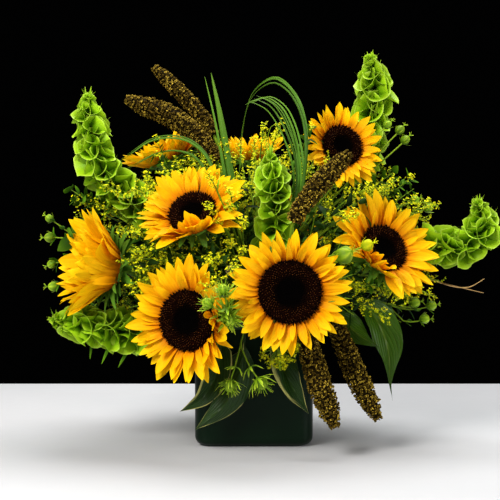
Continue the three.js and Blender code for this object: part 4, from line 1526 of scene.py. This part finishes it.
def twig(node):
    """A curly willow twig with a side shoot."""
    route = route_of(node)
    batch = Batch()

    def knotty(t):
        return (1.4 - 1.0 * t) * MM * (1 + 0.10 * np.sin(37 * t) + 0.06 * np.sin(83 * t + 1))

    tube(batch, route, knotty, sides=9, steps=80)
    fork = route.at(0.78)
    end = route.at(1.0)
    across = route.sides(np.array([0.9]))[0][0]
    shoot = Route([fork, fork + (end - fork) * 0.45 - UP * 7 * MM, end - UP * 16 * MM + across * 3 * MM])
    tube(batch, shoot, lambda t: (0.8 - 0.5 * t) * MM, sides=7, steps=24)
    batch.build(f"{node}_bark", twig_material, node, "twig")


twig("willow_twig")


# ---- vase and foam ------------------------------------------------------------------------------


def vase():
    """A square pot with rounded upright corners, a rounded foot, and a hollow inside that follows its
    outside."""
    low, high = (np.array(v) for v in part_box("vase"))
    half = (high[0] - low[0]) / 2
    height = high[2] - low[2]
    wall, floor, corner, foot = 4 * MM, 6 * MM, 14 * MM, 11 * MM
    bend = np.linspace(0, math.pi / 2, 8)
    outside = [(half - foot * (1 - math.sin(a)), foot * (1 - math.cos(a))) for a in bend]
    lip = 1.2 * MM
    quarter_turn = np.linspace(0, 1.57, 4)
    rim = [(half - lip * (1 - math.cos(a)), height - lip * (1 - math.sin(a))) for a in quarter_turn]
    rim += [(half - wall + lip * (1 - math.sin(a)), height - lip * (1 - math.cos(a))) for a in quarter_turn]
    inside = half - wall
    hollow = [(inside, floor + 5 * MM), (inside - 1.5 * MM, floor + 1.5 * MM), (inside - 5 * MM, floor)]
    profile = [(half * 0.4, 0.0), *outside, *rim, *hollow, (half * 0.4, floor)]
    steps = 9
    rings = []
    for width, z in profile:
        core = min(half - corner, width * 0.8)
        ring = []
        for quarter in range(4):
            middle = (quarter + 0.5) * math.pi / 2
            cx = math.copysign(core, math.cos(middle))
            cy = math.copysign(core, math.sin(middle))
            for k in range(steps):
                angle = (quarter + k / (steps - 1)) * math.pi / 2
                ring.append((cx + (width - core) * math.cos(angle), cy + (width - core) * math.sin(angle), z))
        rings.append(ring)
    points = np.array(rings).reshape(-1, 3)
    ring_size = 4 * steps
    points = np.vstack([points, [[0, 0, 0], [0, 0, floor]]])
    j = np.arange(ring_size)
    k = (j + 1) % ring_size
    last = (len(profile) - 1) * ring_size
    under = np.full(ring_size, len(points) - 2)
    faces = [
        grid_faces(len(profile), ring_size, closed=True),
        np.stack([k, j, under], axis=1),
        np.stack([last + j, last + k, under + 1], axis=1),
    ]
    batch = Batch()
    batch.add(points, faces)
    batch.build("vase_body", vase_surface(), "vase", "vase")


vase()
foam = frame["nodes"]["floral_foam"]
foam_material = foam_surface()
for place in foam.material_slots:
    place.material = foam_material


# ---- floor, light and camera --------------------------------------------------------------------

vase_low, vase_high = (np.array(v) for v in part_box("vase"))
vase_width = vase_high[0] - vase_low[0]

def plain_floor():
    """A table top that ends a little behind the vase, with a slightly sloping back edge."""
    front, back, side, thick = -1.1, vase_high[1] + 2.53 * vase_width, 1.7, 0.03
    low_back = back + 0.01
    top = [(-side, front, 0), (side, front, 0), (side, back, 0), (-side, back, 0)]
    under = [(x, y, -thick) for x, y in ((-side, front), (side, front), (side, low_back), (-side, low_back))]
    faces = [(0, 1, 2, 3), (4, 5, 1, 0), (5, 6, 2, 1), (6, 7, 3, 2), (7, 4, 0, 3), (7, 6, 5, 4)]
    mesh = bpy.data.meshes.new("floor")
    mesh.from_pydata(top + under, [], faces)
    mesh.materials.append(floor_surface())
    return bpy.data.objects.new("floor", mesh)


floor = plain_floor()
bpy.context.scene.collection.objects.link(floor)


def softbox(name, place, target, size, power, colour=(1, 1, 1)):
    """A rectangular studio light that faces target."""
    lamp = bpy.data.lights.new(name, "AREA")
    lamp.shape = "RECTANGLE"
    lamp.size, lamp.size_y = size
    lamp.energy = power
    lamp.color = colour
    holder = bpy.data.objects.new(name, lamp)
    bpy.context.scene.collection.objects.link(holder)
    holder.location = place
    holder.rotation_euler = (Vector(target) - Vector(place)).to_track_quat("-Z", "Y").to_euler()


middle = (0.0, 0.0, 0.22)
softbox("key", (-0.9, -1.35, 1.35), middle, (0.8, 0.8), 58, (1.0, 0.98, 0.95))
softbox("fill", (1.5, -1.2, 0.8), middle, (1.2, 1.0), 19, (0.98, 0.98, 1.0))
softbox("top", (0.2, 0.45, 1.7), middle, (1.4, 0.9), 48)

world = bpy.data.worlds.new("dark_studio")
bpy.context.scene.world = world
world.use_nodes = True
background = world.node_tree.nodes["Background"]
background.inputs["Color"].default_value = (0.9, 0.95, 1.0, 1.0)
background.inputs["Strength"].default_value = 0.0005

camera_data = bpy.data.cameras.new("camera")
camera_data.sensor_width = 36.0
camera_data.lens = 102.0
camera = bpy.data.objects.new("camera", camera_data)
bpy.context.scene.collection.objects.link(camera)
camera.location = (-0.0042, vase_low[1] - 1.5, 0.300)
camera.rotation_euler = (math.radians(90 - 3.36), 0, 0)
bpy.context.scene.camera = camera
bpy.context.scene.view_settings.view_transform = "Standard"
